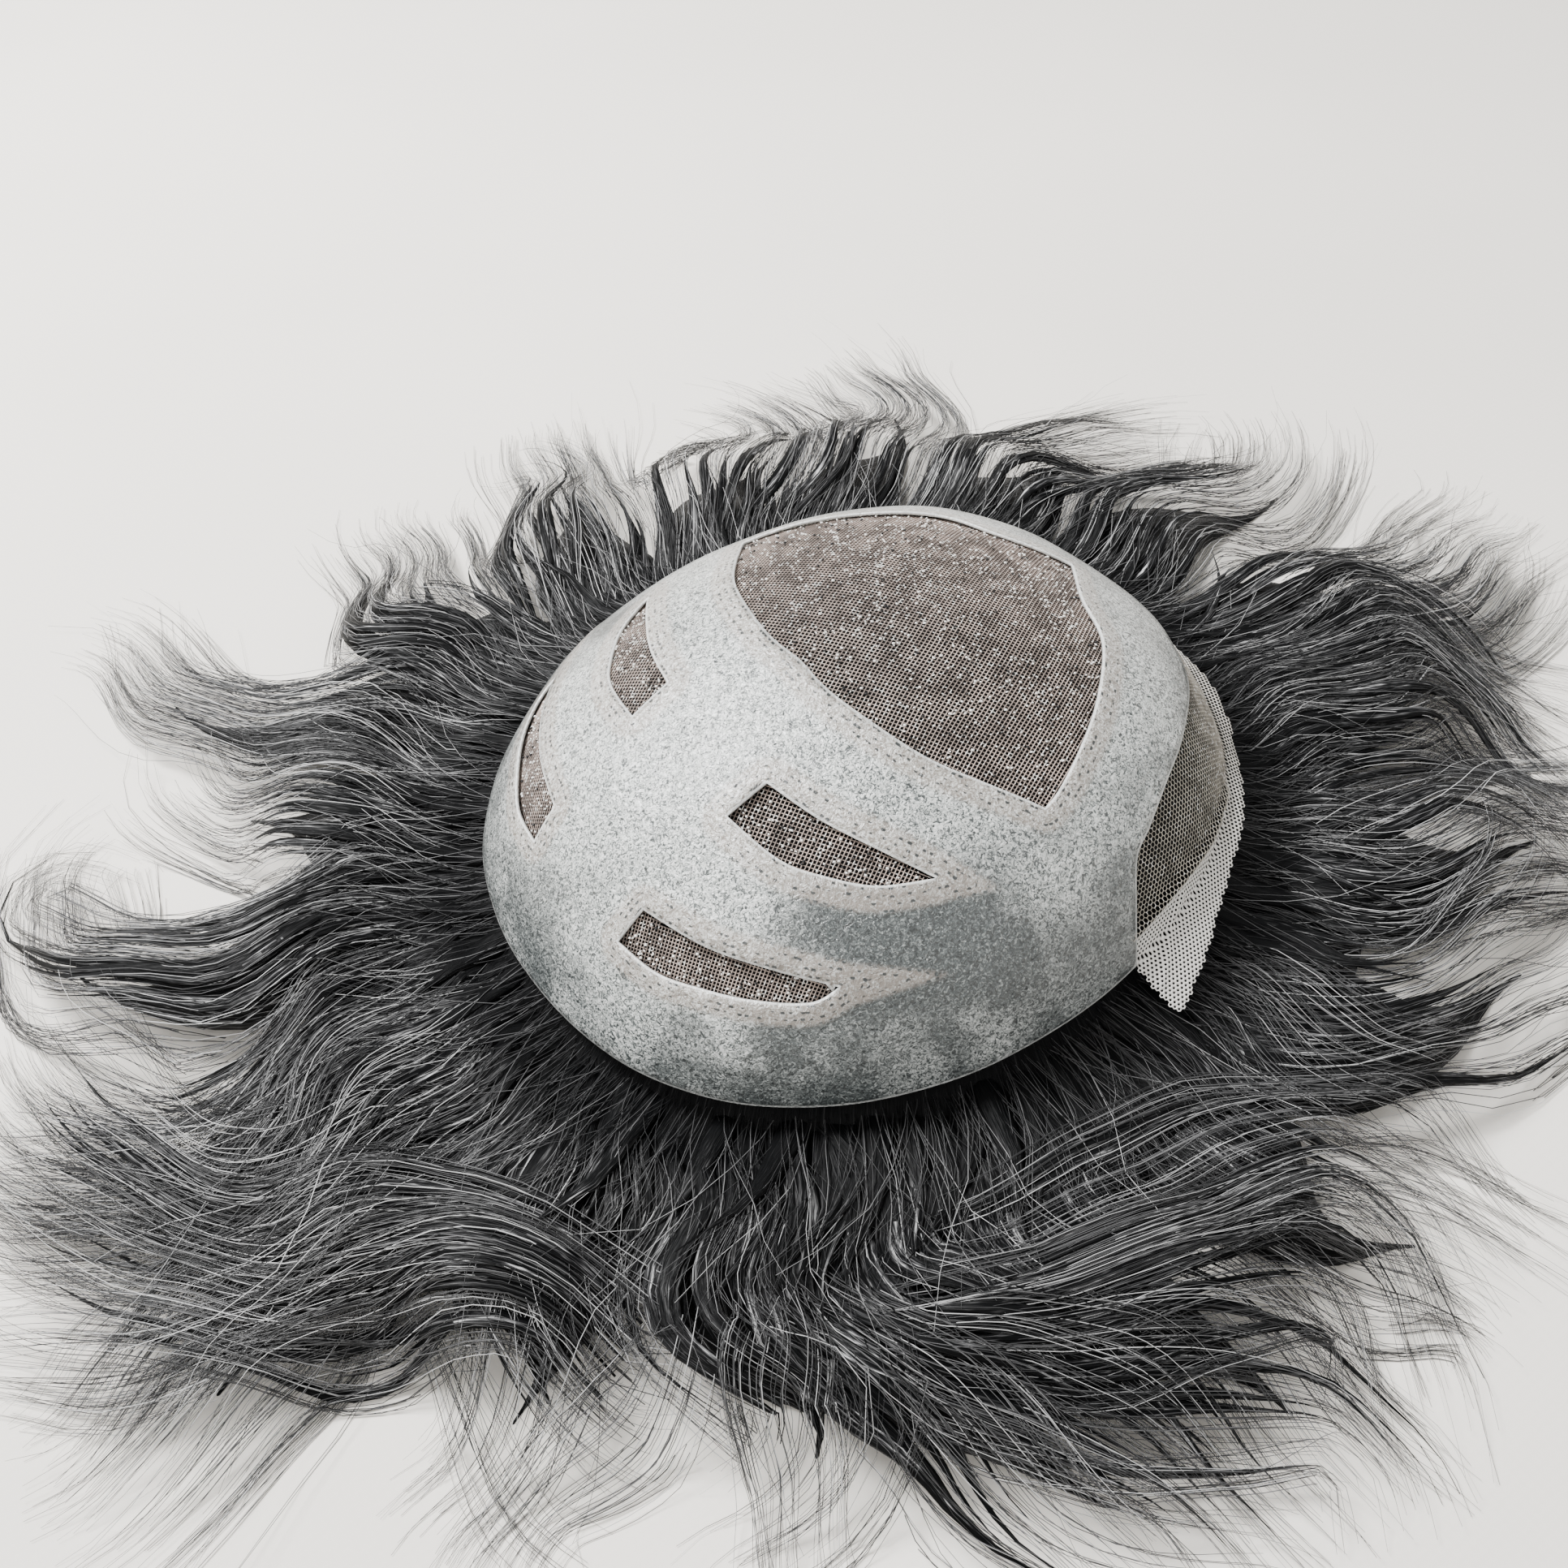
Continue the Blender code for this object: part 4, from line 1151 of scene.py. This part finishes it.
def strand_shades(count, draws):
    """How light each strand is: most are dark, some grey and some silver."""
    hair = settings()[1]
    kind = draws.random(count)
    dark = draws.uniform(0.0, 0.18, count)
    grey = draws.uniform(0.2, 0.55, count)
    silver = draws.uniform(0.6, 1.0, count)
    return np.where(kind < hair.silver, silver, np.where(kind < hair.silver + hair.grey, grey, dark))


def strand_piece(name, groups, material, draws):
    """One piece of strands from several groups of paths, each with its own stations.

    A strand's shade fades to two fifths close to the rim, where hardly any light comes.
    """
    hair = settings()[1]
    parts, shades = [], []
    for paths in groups:
        count, stations = paths.shape[:2]
        taper = 1.0 - 0.65 * np.linspace(0.0, 1.0, stations) ** 2
        radii = 0.5 * hair.strand * draws.uniform(0.75, 1.2, count)[:, None] * taper
        tube, sides, ends, each = tubes(paths, radii, 3)
        lit = 0.4 + 0.6 * ease(past_rim(tube)[0], 0.004, 0.032)
        parts.append((tube, sides, ends))
        shades.append(np.repeat(strand_shades(count, draws), each) * lit)
    points, quads, triangles = joined(parts)
    return new_piece(name, points, quads, material, triangles, values={"shade": np.concatenate(shades)})


def under_base(points):
    """How much hair lies in the base's shade: one under it and by its rim, falling to nought."""
    return 1.0 - ease(past_rim(points)[0], 0.006, 0.040)


def joined(parts):
    """Several parts as one: their points, quads and triangles, and any pattern coordinates."""
    starts = np.cumsum([0] + [len(part[0]) for part in parts[:-1]])
    whole = []
    for place, arrays in enumerate(zip(*parts)):
        shift = starts if place in (1, 2) else np.zeros_like(starts)
        whole.append(np.vstack([array + start for array, start in zip(arrays, shift)]))
    return whole


def hair_body():
    """The hair's body as rings of spokes: the cover under the dome, the ring outside it and the hollow.

    Pattern coordinates run round the spokes and along them, in millimetres.
    """
    hair = settings()[1]
    steps = 180
    turns = 2.0 * math.pi * np.arange(steps) / steps
    spokes = np.column_stack((np.cos(turns), np.sin(turns)))
    middle = dome_middle()
    plan = on_dome(spokes, 0.0)[:, :2] - middle
    angles = np.arctan2(plan[:, 1], plan[:, 0])
    radii, levels = rim_radius(angles), rim_level(angles)

    def ring(past, height):
        radius = radii + past
        return np.column_stack((middle[0] + radius * np.cos(angles), middle[1] + radius * np.sin(angles),
                                np.broadcast_to(height, steps)))

    rings = [on_dome(spokes * reach, hair.cover_depth) for reach in np.linspace(0.04, 0.9, 14)]
    rings.append(ring(-0.008, levels - hair.cover_depth))
    for way in (0.05, 0.12, 0.20, 0.30, 0.45, 0.60, 0.75, 0.90, 1.0):
        past = way * hair.body_width
        rings.append(ring(past, np.maximum(body_top(past, angles) - 0.0025, 0.0008)))
    rings.append(ring(hair.body_width, 0.0003))
    rings.append(ring(-hair.foot_width, 0.0003))
    for reach in (0.78, 0.7, 0.55, 0.38, 0.2, 0.06):
        rings.append(on_dome(spokes * reach, hair.cover_depth + hair.layer * (1.0 + reach ** 2)))
    count = len(rings)
    first, last = rings[0].mean(axis=0), rings[-1].mean(axis=0)
    points = np.vstack(rings + [first, last])
    quads = ring_quads(count, steps)
    step = np.arange(steps)
    following = (step + 1) % steps
    ends, begin = count * steps, (count - 1) * steps
    caps = np.vstack((
        np.column_stack((np.full(steps, ends), step, following)),
        np.column_stack((np.full(steps, ends + 1), begin + following, begin + step)),
    ))
    along = np.repeat(np.linspace(0.0, 220.0, count), steps)
    around = np.tile(np.abs(np.linspace(-1.0, 1.0, steps, endpoint=False)) * 320.0, count)
    uv = np.vstack((np.column_stack((around, along)), ((0.0, 0.0), (0.0, 220.0))))
    return points, quads, caps, uv


def hair_cores():
    """The locks' cores: ovals a little inside the locks' own, thinning out before the loose ends."""
    paths, radii, flats = [], [], []
    way = np.linspace(0.0, CORE_END, CORE_STATIONS)
    thin = CORE_SHARE * (1.0 - 0.97 * ease(way, CORE_THINS, CORE_END))
    for number, row in enumerate(LOCKS):
        ways, path, _ = lock_line(row, number)
        half, loft = lock_oval(row, way)
        paths.append(np.column_stack((at_ways(way, ways, path), 0.53 * loft * thin)))
        radii.append(half * thin)
        flats.append(0.48 * loft * thin / (half * thin))
    paths, radii, flats = np.array(paths), np.array(radii), np.array(flats)
    points, quads, triangles, _ = tubes(paths, radii, CORE_SIDES, flats[:, :, None, None])
    return points, quads, triangles, tube_uv(paths, radii, CORE_SIDES, 0.4)


def bundle_tubes(paths, width):
    """Bundles as flat tapering ovals, sunk so that their tops lie by their paths."""
    way = np.linspace(0.0, 1.0, paths.shape[1])
    radii = width[:, None] * (0.15 + 0.85 * ease(way, 0.0, 0.3)) * (1.0 - 0.97 * ease(way, 0.3, 0.98))
    paths[..., 2] = np.maximum(paths[..., 2] - 0.0006 - BUNDLE_FLAT * radii, 0.4 * radii + 0.0002)
    points, quads, triangles, _ = tubes(paths, radii, BUNDLE_SIDES, BUNDLE_FLAT)
    return points, quads, triangles, tube_uv(paths, radii, BUNDLE_SIDES, BUNDLE_FLAT)


def hair_bundles(draws, tops):
    """Thick bundles over the locks, along the sweeps and out from under the rim."""
    hair = settings()[1]
    way = np.linspace(0.0, 1.0, BUNDLE_STATIONS)
    locks, widths = [], []
    for number, row in enumerate(LOCKS):
        ends = draws.uniform(0.55, 0.88, hair.bundles)[:, None] * min(row[6], 1.0) ** 0.5
        locks.append(spread_strands(lock_line(row, number), 0.4 * hair.lock_width * row[5], hair.bundles,
                                    way * ends, draws, tops, sunk=0.004, stray=0.0))
        widths.append(draws.uniform(0.0024, 0.0050, hair.bundles) * row[5] * min(row[6], 1.0))
    sweeps, slim = [], []
    for row in SWEEPS:
        if row[2] < THIN_SWEEP:
            continue
        count = round(5 * row[2])
        ends = draws.uniform(0.7, 1.0, count)[:, None]
        sweeps.append(spread_strands(sweep_line(row), 0.85 * row[1], count, 0.12 + (ends - 0.12) * way,
                                     draws, tops, sunk=0.001, stray=0.0, raised=0.0015))
        slim.append(draws.uniform(0.0014, 0.0028, count))
    rim = rim_strands(0.0, 360.0, RIM_BUNDLES, RIM_STATIONS, draws, tops, root=0.018, longest=0.06)
    return joined([
        bundle_tubes(np.concatenate(locks), np.concatenate(widths)),
        bundle_tubes(np.concatenate(sweeps), np.concatenate(slim)),
        bundle_tubes(rim, draws.uniform(0.0030, 0.0048, RIM_BUNDLES)),
    ])


def film_relief(pattern):
    """The film's distances in millimetres to the nearest band and edge, and its height.

    A band's tail past a crescent's tip narrows evenly to nothing. The height is a smooth step down
    over the band's outer side, with a slight roll at each edge and slow lumps from a sum of sines.
    """
    base = settings()[0]
    scale = base.half_length * PATTERN_RUN * 1000.0
    band = np.full(len(pattern), 1e9)
    for loop in windows().values():
        band = np.minimum(band, scale * nearest(pattern, loop)[1])
    edge = np.minimum(band, scale * nearest(pattern, film_outline())[1])
    for side in (1.0, -1.0):
        for tip, end in BAND_TAILS:
            line = np.array((tip, end)) * (1.0, side)
            place, off = nearest(pattern, line, closed=False)
            way = np.linalg.norm(place - line[0], axis=1) / np.linalg.norm(line[1] - line[0])
            band = np.minimum(band, off * scale + base.band_width * 1000.0 * way)
    raised = 1.0 - ease(band, base.band_width * 1000.0 - 0.7, base.band_width * 1000.0 + 0.9)
    roll = 1.0 - ease(edge, 0.0, 1.2)
    x, y = pattern[:, 0], pattern[:, 1]
    lumps = (np.sin(9.0 * x + 4.0 * y) + np.sin(7.0 * y - 5.0 * x + 1.3) + np.sin(17.0 * x - 2.0)
             * np.sin(15.0 * y + 0.6))
    return band, edge, BAND_RISE * raised + EDGE_ROLL * roll + LUMP_SIZE * lumps


def hair_close_and_highlight(pattern):
    """How close the hair lies under the film, less a painted highlight: a sum of round hills, over a rise
    towards the rim.

    A hill is a bell of the distance to its middle. At the crown a bell is taken off, a painted highlight that
    draws the film lighter there.
    """
    reach = np.hypot(pattern[:, 0], pattern[:, 1])
    close = 0.68 * ease(reach, 0.45, 1.0)
    for along, across, width, much in HAIR_PRESSED:
        off = (pattern[:, 0] - along) ** 2 + (pattern[:, 1] - across) ** 2
        close = close + much * np.exp(-off / (2.0 * width ** 2))
    # painted highlight: a bell taken off at the crown, so that the film is drawn lighter there
    return close - 0.6 * np.exp(-((pattern[:, 0] + 0.30) ** 2 + pattern[:, 1] ** 2) / 0.06)


class HairpieceOperator(bpy.types.Operator):
    """Shared form of the operators that build the hairpiece"""
    bl_options = {"REGISTER", "UNDO"}

    def finish_piece(self, piece, slot, *nodes):
        """Makes the piece ride on the body and hides the solids that it replaces. The slot is not used."""
        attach(piece, "root")
        if nodes:
            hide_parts(*nodes)


class HAIRPIECE_OT_film(HairpieceOperator):
    """Build the poly film of the base, with its five windows and their raised bands"""
    bl_idname = "hairpiece.film"
    bl_label = "Poly Film"

    def execute(self, context):
        base = settings()[0]
        pattern, quads = cut_grid(base.film_cell / (base.half_length * PATTERN_RUN), film_outline(),
                                  list(windows().values()))
        band, edge, height = film_relief(pattern)
        sunk = FILM_SEAT - height
        points, faces = walled(on_dome(pattern, sunk), on_dome(pattern, sunk + base.film_wall), quads)
        # the hair's closeness here carries the painted highlight at the crown
        values = {"band_mm": band, "edge_mm": edge, "hair_close_and_highlight": hair_close_and_highlight(pattern)}
        film = new_piece("poly_film", points, faces, poly_film_material(),
                         uv=1000.0 * base.half_length * np.tile(pattern, (2, 1)),
                         values={key: np.tile(value, 2) for key, value in values.items()})
        self.finish_piece(film, "poly_film", "poly_skin")
        return {"FINISHED"}


class HAIRPIECE_OT_nets(HairpieceOperator):
    """Build the woven mono net under each window, with its tied knots"""
    bl_idname = "hairpiece.nets"
    bl_label = "Mono Nets"

    def threads(self, loop, pitch, turn, depth):
        """Threads one way across a window: tubes between the grid points that lie inside its outline.

        The grid's lines are a pitch apart and its stations two, turned by an angle. Each run of
        stations inside the outline is one tube of triangles across, capped at both ends.
        """
        base = settings()[0]
        cosine, sine = math.cos(turn), math.sin(turn)
        frame_of = np.array(((cosine, sine), (-sine, cosine)))
        turned = loop @ frame_of.T
        low, high = turned.min(axis=0), turned.max(axis=0)
        line = np.arange(low[1], high[1], pitch)
        station = np.arange(low[0] - 2.0 * pitch, high[0] + 2.0 * pitch, 2.0 * pitch)
        grid = np.stack(np.meshgrid(station, line, indexing="ij"), axis=-1)
        shape = grid.shape[:2]
        pattern = grid.reshape(-1, 2) @ frame_of
        within = inside(pattern, loop).reshape(shape)
        centre = on_dome(pattern, depth)
        ahead = dome_face(pattern + 0.002 * frame_of[0]) - dome_face(pattern - 0.002 * frame_of[0])
        up = dome_normal(pattern)
        side = unit(np.cross(ahead, up))
        turns = 2.0 * math.pi * np.arange(3) / 3.0 + 0.5 * math.pi
        half = 0.5 * base.net_thread
        rings = centre[:, None] + half * (np.cos(turns)[:, None] * side[:, None]
                                          + 0.6 * np.sin(turns)[:, None] * up[:, None])
        number = np.arange(shape[0] * shape[1]).reshape(shape)
        both = within[:-1] & within[1:]
        start, end = number[:-1][both], number[1:][both]
        turn_to = np.arange(3)
        here, there = 3 * start[:, None] + turn_to, 3 * start[:, None] + (turn_to + 1) % 3
        far, far_on = 3 * end[:, None] + turn_to, 3 * end[:, None] + (turn_to + 1) % 3
        quads = np.stack((here, far, far_on, there), axis=-1).reshape(-1, 4)
        padded = np.zeros((shape[0] + 1, shape[1]), bool)
        padded[1:-1] = both
        opens = number[padded[1:] & ~padded[:-1]]
        closes = number[~padded[1:] & padded[:-1]]
        caps = np.vstack((3 * opens[:, None] + (0, 1, 2), 3 * closes[:, None] + (0, 2, 1)))
        used, packed = np.unique(np.concatenate((quads.ravel(), caps.ravel())), return_inverse=True)
        points = rings.reshape(-1, 3)[used]
        split = quads.size
        return points, packed[:split].reshape(-1, 4), packed[split:].reshape(-1, 3)

    def knots(self, loop, count, draws):
        """Knots scattered in a window: eight-sided beads drawn out of round, most of them pale."""
        base = settings()[0]
        low, high = loop.min(axis=0), loop.max(axis=0)
        spots = draws.uniform(low, high, (4 * count, 2))
        spots = spots[inside(spots, loop)][:count]
        centre = on_dome(spots, base.layer_depth - 0.0003)
        size = draws.uniform(0.00022, 0.00060, (len(spots), 1, 3)) * (1.0, 1.0, 0.6)
        corners = np.array(((1, 0, 0), (0, 1, 0), (-1, 0, 0), (0, -1, 0), (0, 0, 1), (0, 0, -1)), float)
        faces = np.array(((0, 1, 4), (1, 2, 4), (2, 3, 4), (3, 0, 4),
                          (1, 0, 5), (2, 1, 5), (3, 2, 5), (0, 3, 5)))
        points = centre[:, None] + size * corners
        shade = np.repeat((draws.random(len(spots)) < PALE_KNOTS).astype(float), len(corners))
        faces = (faces + len(corners) * np.arange(len(spots))[:, None, None]).reshape(-1, 3)
        return points.reshape(-1, 3), faces, shade

    def execute(self, context):
        base, hair, _ = settings()
        draws = np.random.default_rng(hair.seed)
        pitch = base.net_pitch / (base.half_length * PATTERN_RUN)
        woven, tied = net_material(), knot_material()
        for name, loop in windows().items():
            lapped = loop + unit(loop - loop.mean(axis=0)) * NET_LAP / base.half_length
            warp = self.threads(lapped, pitch, NET_TURN, base.layer_depth)
            weft = self.threads(lapped, pitch, NET_TURN + 0.5 * math.pi,
                                base.layer_depth + 0.6 * base.net_thread)
            points, quads, caps = joined([warp, weft])
            net = new_piece(name + "_weave", points, quads, woven, caps)
            self.finish_piece(net, "mono_net", name)
            count = TOP_KNOTS if name == "net_top" else CRESCENT_KNOTS
            points, faces, shade = self.knots(loop, count, draws)
            knots = new_piece(name + "_knots", points, None, tied, faces, values={"shade": shade})
            self.finish_piece(knots, "mono_net")
        return {"FINISHED"}


class HAIRPIECE_OT_lace(HairpieceOperator):
    """Build the hexagon lace at the front, with its raw edge and flap past the rim"""
    bl_idname = "hairpiece.lace"
    bl_label = "Lace Front"

    def execute(self, context):
        base = settings()[0]
        outer = lace_outline(LACE_LAP)
        pitch = base.lace_pitch / (base.half_length * LACE_RUN)
        low, high = outer.min(axis=0), outer.max(axis=0)
        rows = np.arange(low[1], high[1], pitch * math.sqrt(0.75))
        columns = np.arange(low[0], high[0], pitch)
        grid = np.stack(np.meshgrid(columns, rows, indexing="ij"), axis=-1)
        grid[:, 1::2, 0] += 0.5 * pitch
        cells = grid.reshape(-1, 2)
        cells = cells[inside(cells, outer)]
        turns = math.pi * (np.arange(6) / 3.0 + 1.0 / 6.0)
        spokes = np.column_stack((np.cos(turns), np.sin(turns))) * pitch / math.sqrt(3.0)
        corners = np.round((cells[:, None] + spokes).reshape(-1, 2), 6)
        lines, packed = np.unique(corners, axis=0, return_inverse=True)
        packed = packed.reshape(-1, 6)
        open_share = base.lace_hole * (1.0 - 0.45 * self.folds(cells)[1])
        holes = (cells[:, None] + open_share[:, None, None] * spokes).reshape(-1, 2)
        hole = len(lines) + np.arange(len(holes)).reshape(-1, 6)
        top = np.stack((packed, np.roll(packed, -1, 1), np.roll(hole, -1, 1), hole), axis=-1).reshape(-1, 4)
        under = np.where(top < len(lines), top + len(lines) + len(holes), top)
        border = open_edges(top)
        border = border[np.all(border < len(lines), axis=1)]
        below = border + len(lines) + len(holes)
        sides = np.column_stack((border[:, 1], border[:, 0], below[:, 0], below[:, 1]))
        pattern = np.vstack((lines, holes, lines))
        depth = np.repeat((0.0, 0.5 * LACE_THREAD, LACE_THREAD), (len(lines), len(holes), len(lines)))
        raised, raw = self.folds(pattern)
        points = on_dome(pattern, depth + base.layer_depth - raised)
        quads = np.vstack((top, under[:, ::-1], sides))
        lace = new_piece("lace_mesh", points, quads, lace_material(), values={"raw_edge": raw})
        self.finish_piece(lace, "hex_lace", "lace_front")
        return {"FINISHED"}

    def folds(self, pattern):
        """The lace's height at its fold, pleat and ruffled raw edge, and how much of it lies double.

        The fold is a bell over the distance to its line, the pleat a smaller one turned down.
        """
        base = settings()[0]
        reach = np.hypot(pattern[:, 0], pattern[:, 1])
        angle = np.arctan2(pattern[:, 1], pattern[:, 0])
        past = np.clip(reach - 1.0, 0.0, None) * base.half_length
        fold = nearest(pattern, np.array(LACE_FOLD), closed=False)[1]
        pleat = nearest(pattern, np.array(LACE_PLEAT), closed=False)[1]
        fold_reach = np.interp(np.degrees(angle), (-80.0, -70.0, -56.5, -45.0, -35.0),
                               (0.925, 0.922, 0.96, 0.99, 1.0))
        ruffle = RUFFLE_RISE * np.sin(14.0 * angle + 0.8) * ease(past, 0.0, 0.006)
        bells = FOLD_RISE * np.exp(-(fold / 0.016) ** 2) + PLEAT_RISE * np.exp(-(pleat / 0.012) ** 2)
        double = np.interp(np.degrees(angle), (-60.0, -35.0), (1.0, 0.45))
        return bells + ruffle, double * ease(reach - fold_reach, -0.005, 0.012)


class HAIRPIECE_OT_hair_body(HairpieceOperator):
    """Build the close hair: its body under the dome, the locks' cores and the bundles over them"""
    bl_idname = "hairpiece.hair_body"
    bl_label = "Close Hair"

    def execute(self, context):
        hair = settings()[1]
        draws = np.random.default_rng(hair.seed + 1)
        material = bundle_material()
        points, quads, triangles, uv = joined([hair_body(), hair_cores()])
        body = new_piece("hair_body", points, quads, material, triangles, uv, {"shaded": under_base(points)})
        self.finish_piece(body, "hair", "hair")
        points, quads, triangles, uv = hair_bundles(draws, hair_tops())
        bundles = new_piece("hair_bundles", points, quads, material, triangles, uv,
                            {"shaded": under_base(points)})
        self.finish_piece(bundles, "hair")
        return {"FINISHED"}


class HAIRPIECE_OT_strands(HairpieceOperator):
    """Build the loose strands over the locks, in one piece for each part of the head"""
    bl_idname = "hairpiece.strands"
    bl_label = "Loose Strands"

    def execute(self, context):
        hair = settings()[1]
        material = strand_material()
        weights = np.array([row[5] * row[8] for row in LOCKS])
        share = weights / weights.sum()
        sweep_share = np.array([row[2] for row in SWEEPS])
        sweep_share = sweep_share / sweep_share.sum()
        tops = hair_tops()
        # how many in all, stations, range of starts, mean and spread of ends
        kinds = ((hair.long_strands, 18, (0.0, 0.15), (0.98, 0.08)),
                 (hair.end_strands, 10, (0.35, 0.70), (1.01, 0.08)))
        for place, (name, low, high) in enumerate(HAIR_SECTORS):
            draws = np.random.default_rng(hair.seed + 10 + place)
            groups = []
            for number, row in enumerate(LOCKS):
                if not in_sector(row[1][0], low, high):
                    continue
                line, widest = lock_line(row, number), 0.5 * hair.lock_width * row[5]
                for whole, stations, first, last in kinds:
                    count = round(whole * share[number])
                    ways = strand_ways(draws, count, stations, first, last, (0.75, 1.2))
                    groups.append(spread_strands(line, widest, count, ways, draws, tops, sunk=0.002))
            for number, row in enumerate(SWEEPS):
                if not in_sector(row[0][0][0], low, high):
                    continue
                count = round(hair.sweep_strands * sweep_share[number])
                ways = strand_ways(draws, count, 16, (0.03, 0.4), (0.94, 0.09), (0.6, 1.06))
                groups.append(spread_strands(sweep_line(row), row[1], count, ways, draws, tops,
                                             sunk=0.001, stray=0.04, raised=0.0025))
            count = round(hair.short_strands * (high - low) / 360.0)
            groups.append(rim_strands(low, high, count, 7, draws, tops, root=0.016, longest=0.06))
            piece = strand_piece("strands_" + name, groups, material, draws)
            self.finish_piece(piece, "hair")
        return {"FINISHED"}


class HAIRPIECE_OT_stage(bpy.types.Operator):
    """Build the table, the soft lights and the camera at the photograph's view"""
    bl_idname = "hairpiece.stage"
    bl_label = "Stage"
    bl_options = {"REGISTER", "UNDO"}

    # The photograph's frame and focal length in pixels, and where the rim's middle stands in it
    frame_px = 1932.0
    focal_px = 2000.0
    rim_px = (1052.3, 963.9)
    azimuth = math.radians(-37.73)
    elevation = math.radians(48.12)
    distance = 0.4427
    table_half = 6.0
    # Each light: place, target, size, power and colour
    lights = {
        "window_light": ((-0.42, 0.86, 1.32), (0, 0, 0.06), 0.6, 66.0, (1.0, 1.0, 1.0)),
        "side_light": ((-1.3, -0.2, 1.2), (0, 0, 0.05), 1.0, 12.0, (1.0, 0.985, 0.96)),
        "near_light": ((0.5, -1.5, 1.3), (0, 0, 0.05), 1.2, 6.0, (1.0, 0.98, 0.96)),
    }
    room_tint = (1.0, 0.995, 0.98, 1.0)
    room_strength = 0.62

    def light(self, name, place, target, size, power, tint):
        """A square area light turned towards a point."""
        data = bpy.data.lights.new(name, "AREA")
        data.size, data.energy, data.color = size, power, tint
        lamp = bpy.data.objects.new(name, data)
        lamp.location = place
        lamp.rotation_euler = (Vector(target) - Vector(place)).to_track_quat("-Z", "Y").to_euler()
        bpy.context.scene.collection.objects.link(lamp)

    def execute(self, context):
        scene = context.scene
        base = scene.hairpiece_base
        middle = dome_middle()
        rim = Vector((*middle, base.rim_height))
        back = Vector((math.sin(self.azimuth) * math.cos(self.elevation),
                       -math.cos(self.azimuth) * math.cos(self.elevation), math.sin(self.elevation)))
        data = bpy.data.cameras.new("camera")
        data.lens = data.sensor_width * self.focal_px / self.frame_px
        camera = bpy.data.objects.new("camera", data)
        camera.location = rim + back * self.distance
        half = 0.5 * self.frame_px
        turn = Euler((math.atan((self.rim_px[1] - half) / self.focal_px),
                      math.atan((self.rim_px[0] - half) / self.focal_px), 0.0)).to_quaternion()
        camera.rotation_mode = "QUATERNION"
        camera.rotation_quaternion = (-back).to_track_quat("-Z", "Y") @ turn
        scene.collection.objects.link(camera)
        scene.camera = camera

        points = self.table_half * np.array(((-1, -1, 0), (1, -1, 0), (1, 1, 0), (-1, 1, 0)), float)
        table = new_piece("table", points, [(0, 1, 2, 3)], table_material())

        for name, values in self.lights.items():
            self.light(name, *values)
        world = bpy.data.worlds.new("soft_room")
        world.use_nodes = True
        room = world.node_tree.nodes["Background"]
        room.inputs["Color"].default_value = self.room_tint
        room.inputs["Strength"].default_value = self.room_strength
        scene.world = world
        return {"FINISHED"}


class HAIRPIECE_PT_panel(bpy.types.Panel):
    """The hairpiece's operators and settings"""
    bl_label = "Hairpiece"
    bl_idname = "HAIRPIECE_PT_panel"
    bl_space_type = "VIEW_3D"
    bl_region_type = "UI"
    bl_category = "Hairpiece"

    def draw(self, context):
        for step in STEPS:
            self.layout.operator(step.bl_idname)
        for group in (context.scene.hairpiece_base, context.scene.hairpiece_hair,
                      context.scene.hairpiece_colours):
            for key in group.__annotations__:
                self.layout.prop(group, key)


STEPS = (
    HAIRPIECE_OT_stage,
    HAIRPIECE_OT_film,
    HAIRPIECE_OT_nets,
    HAIRPIECE_OT_lace,
    HAIRPIECE_OT_hair_body,
    HAIRPIECE_OT_strands,
)
CLASSES = (BaseSettings, HairSettings, ColourSettings, *STEPS, HAIRPIECE_PT_panel)


def register():
    """Registers the classes and hangs the settings on the scene."""
    for item in CLASSES:
        bpy.utils.register_class(item)
    bpy.types.Scene.hairpiece_base = PointerProperty(type=BaseSettings)
    bpy.types.Scene.hairpiece_hair = PointerProperty(type=HairSettings)
    bpy.types.Scene.hairpiece_colours = PointerProperty(type=ColourSettings)


def unregister():
    """Takes the settings and the classes away again."""
    del bpy.types.Scene.hairpiece_base
    del bpy.types.Scene.hairpiece_hair
    del bpy.types.Scene.hairpiece_colours
    for item in reversed(CLASSES):
        bpy.utils.unregister_class(item)


def main():
    """Builds everything in order."""
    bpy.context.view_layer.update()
    register()
    bpy.ops.hairpiece.stage()
    bpy.ops.hairpiece.film()
    bpy.ops.hairpiece.nets()
    bpy.ops.hairpiece.lace()
    bpy.ops.hairpiece.hair_body()
    bpy.ops.hairpiece.strands()


if __name__ == "__main__":
    main()
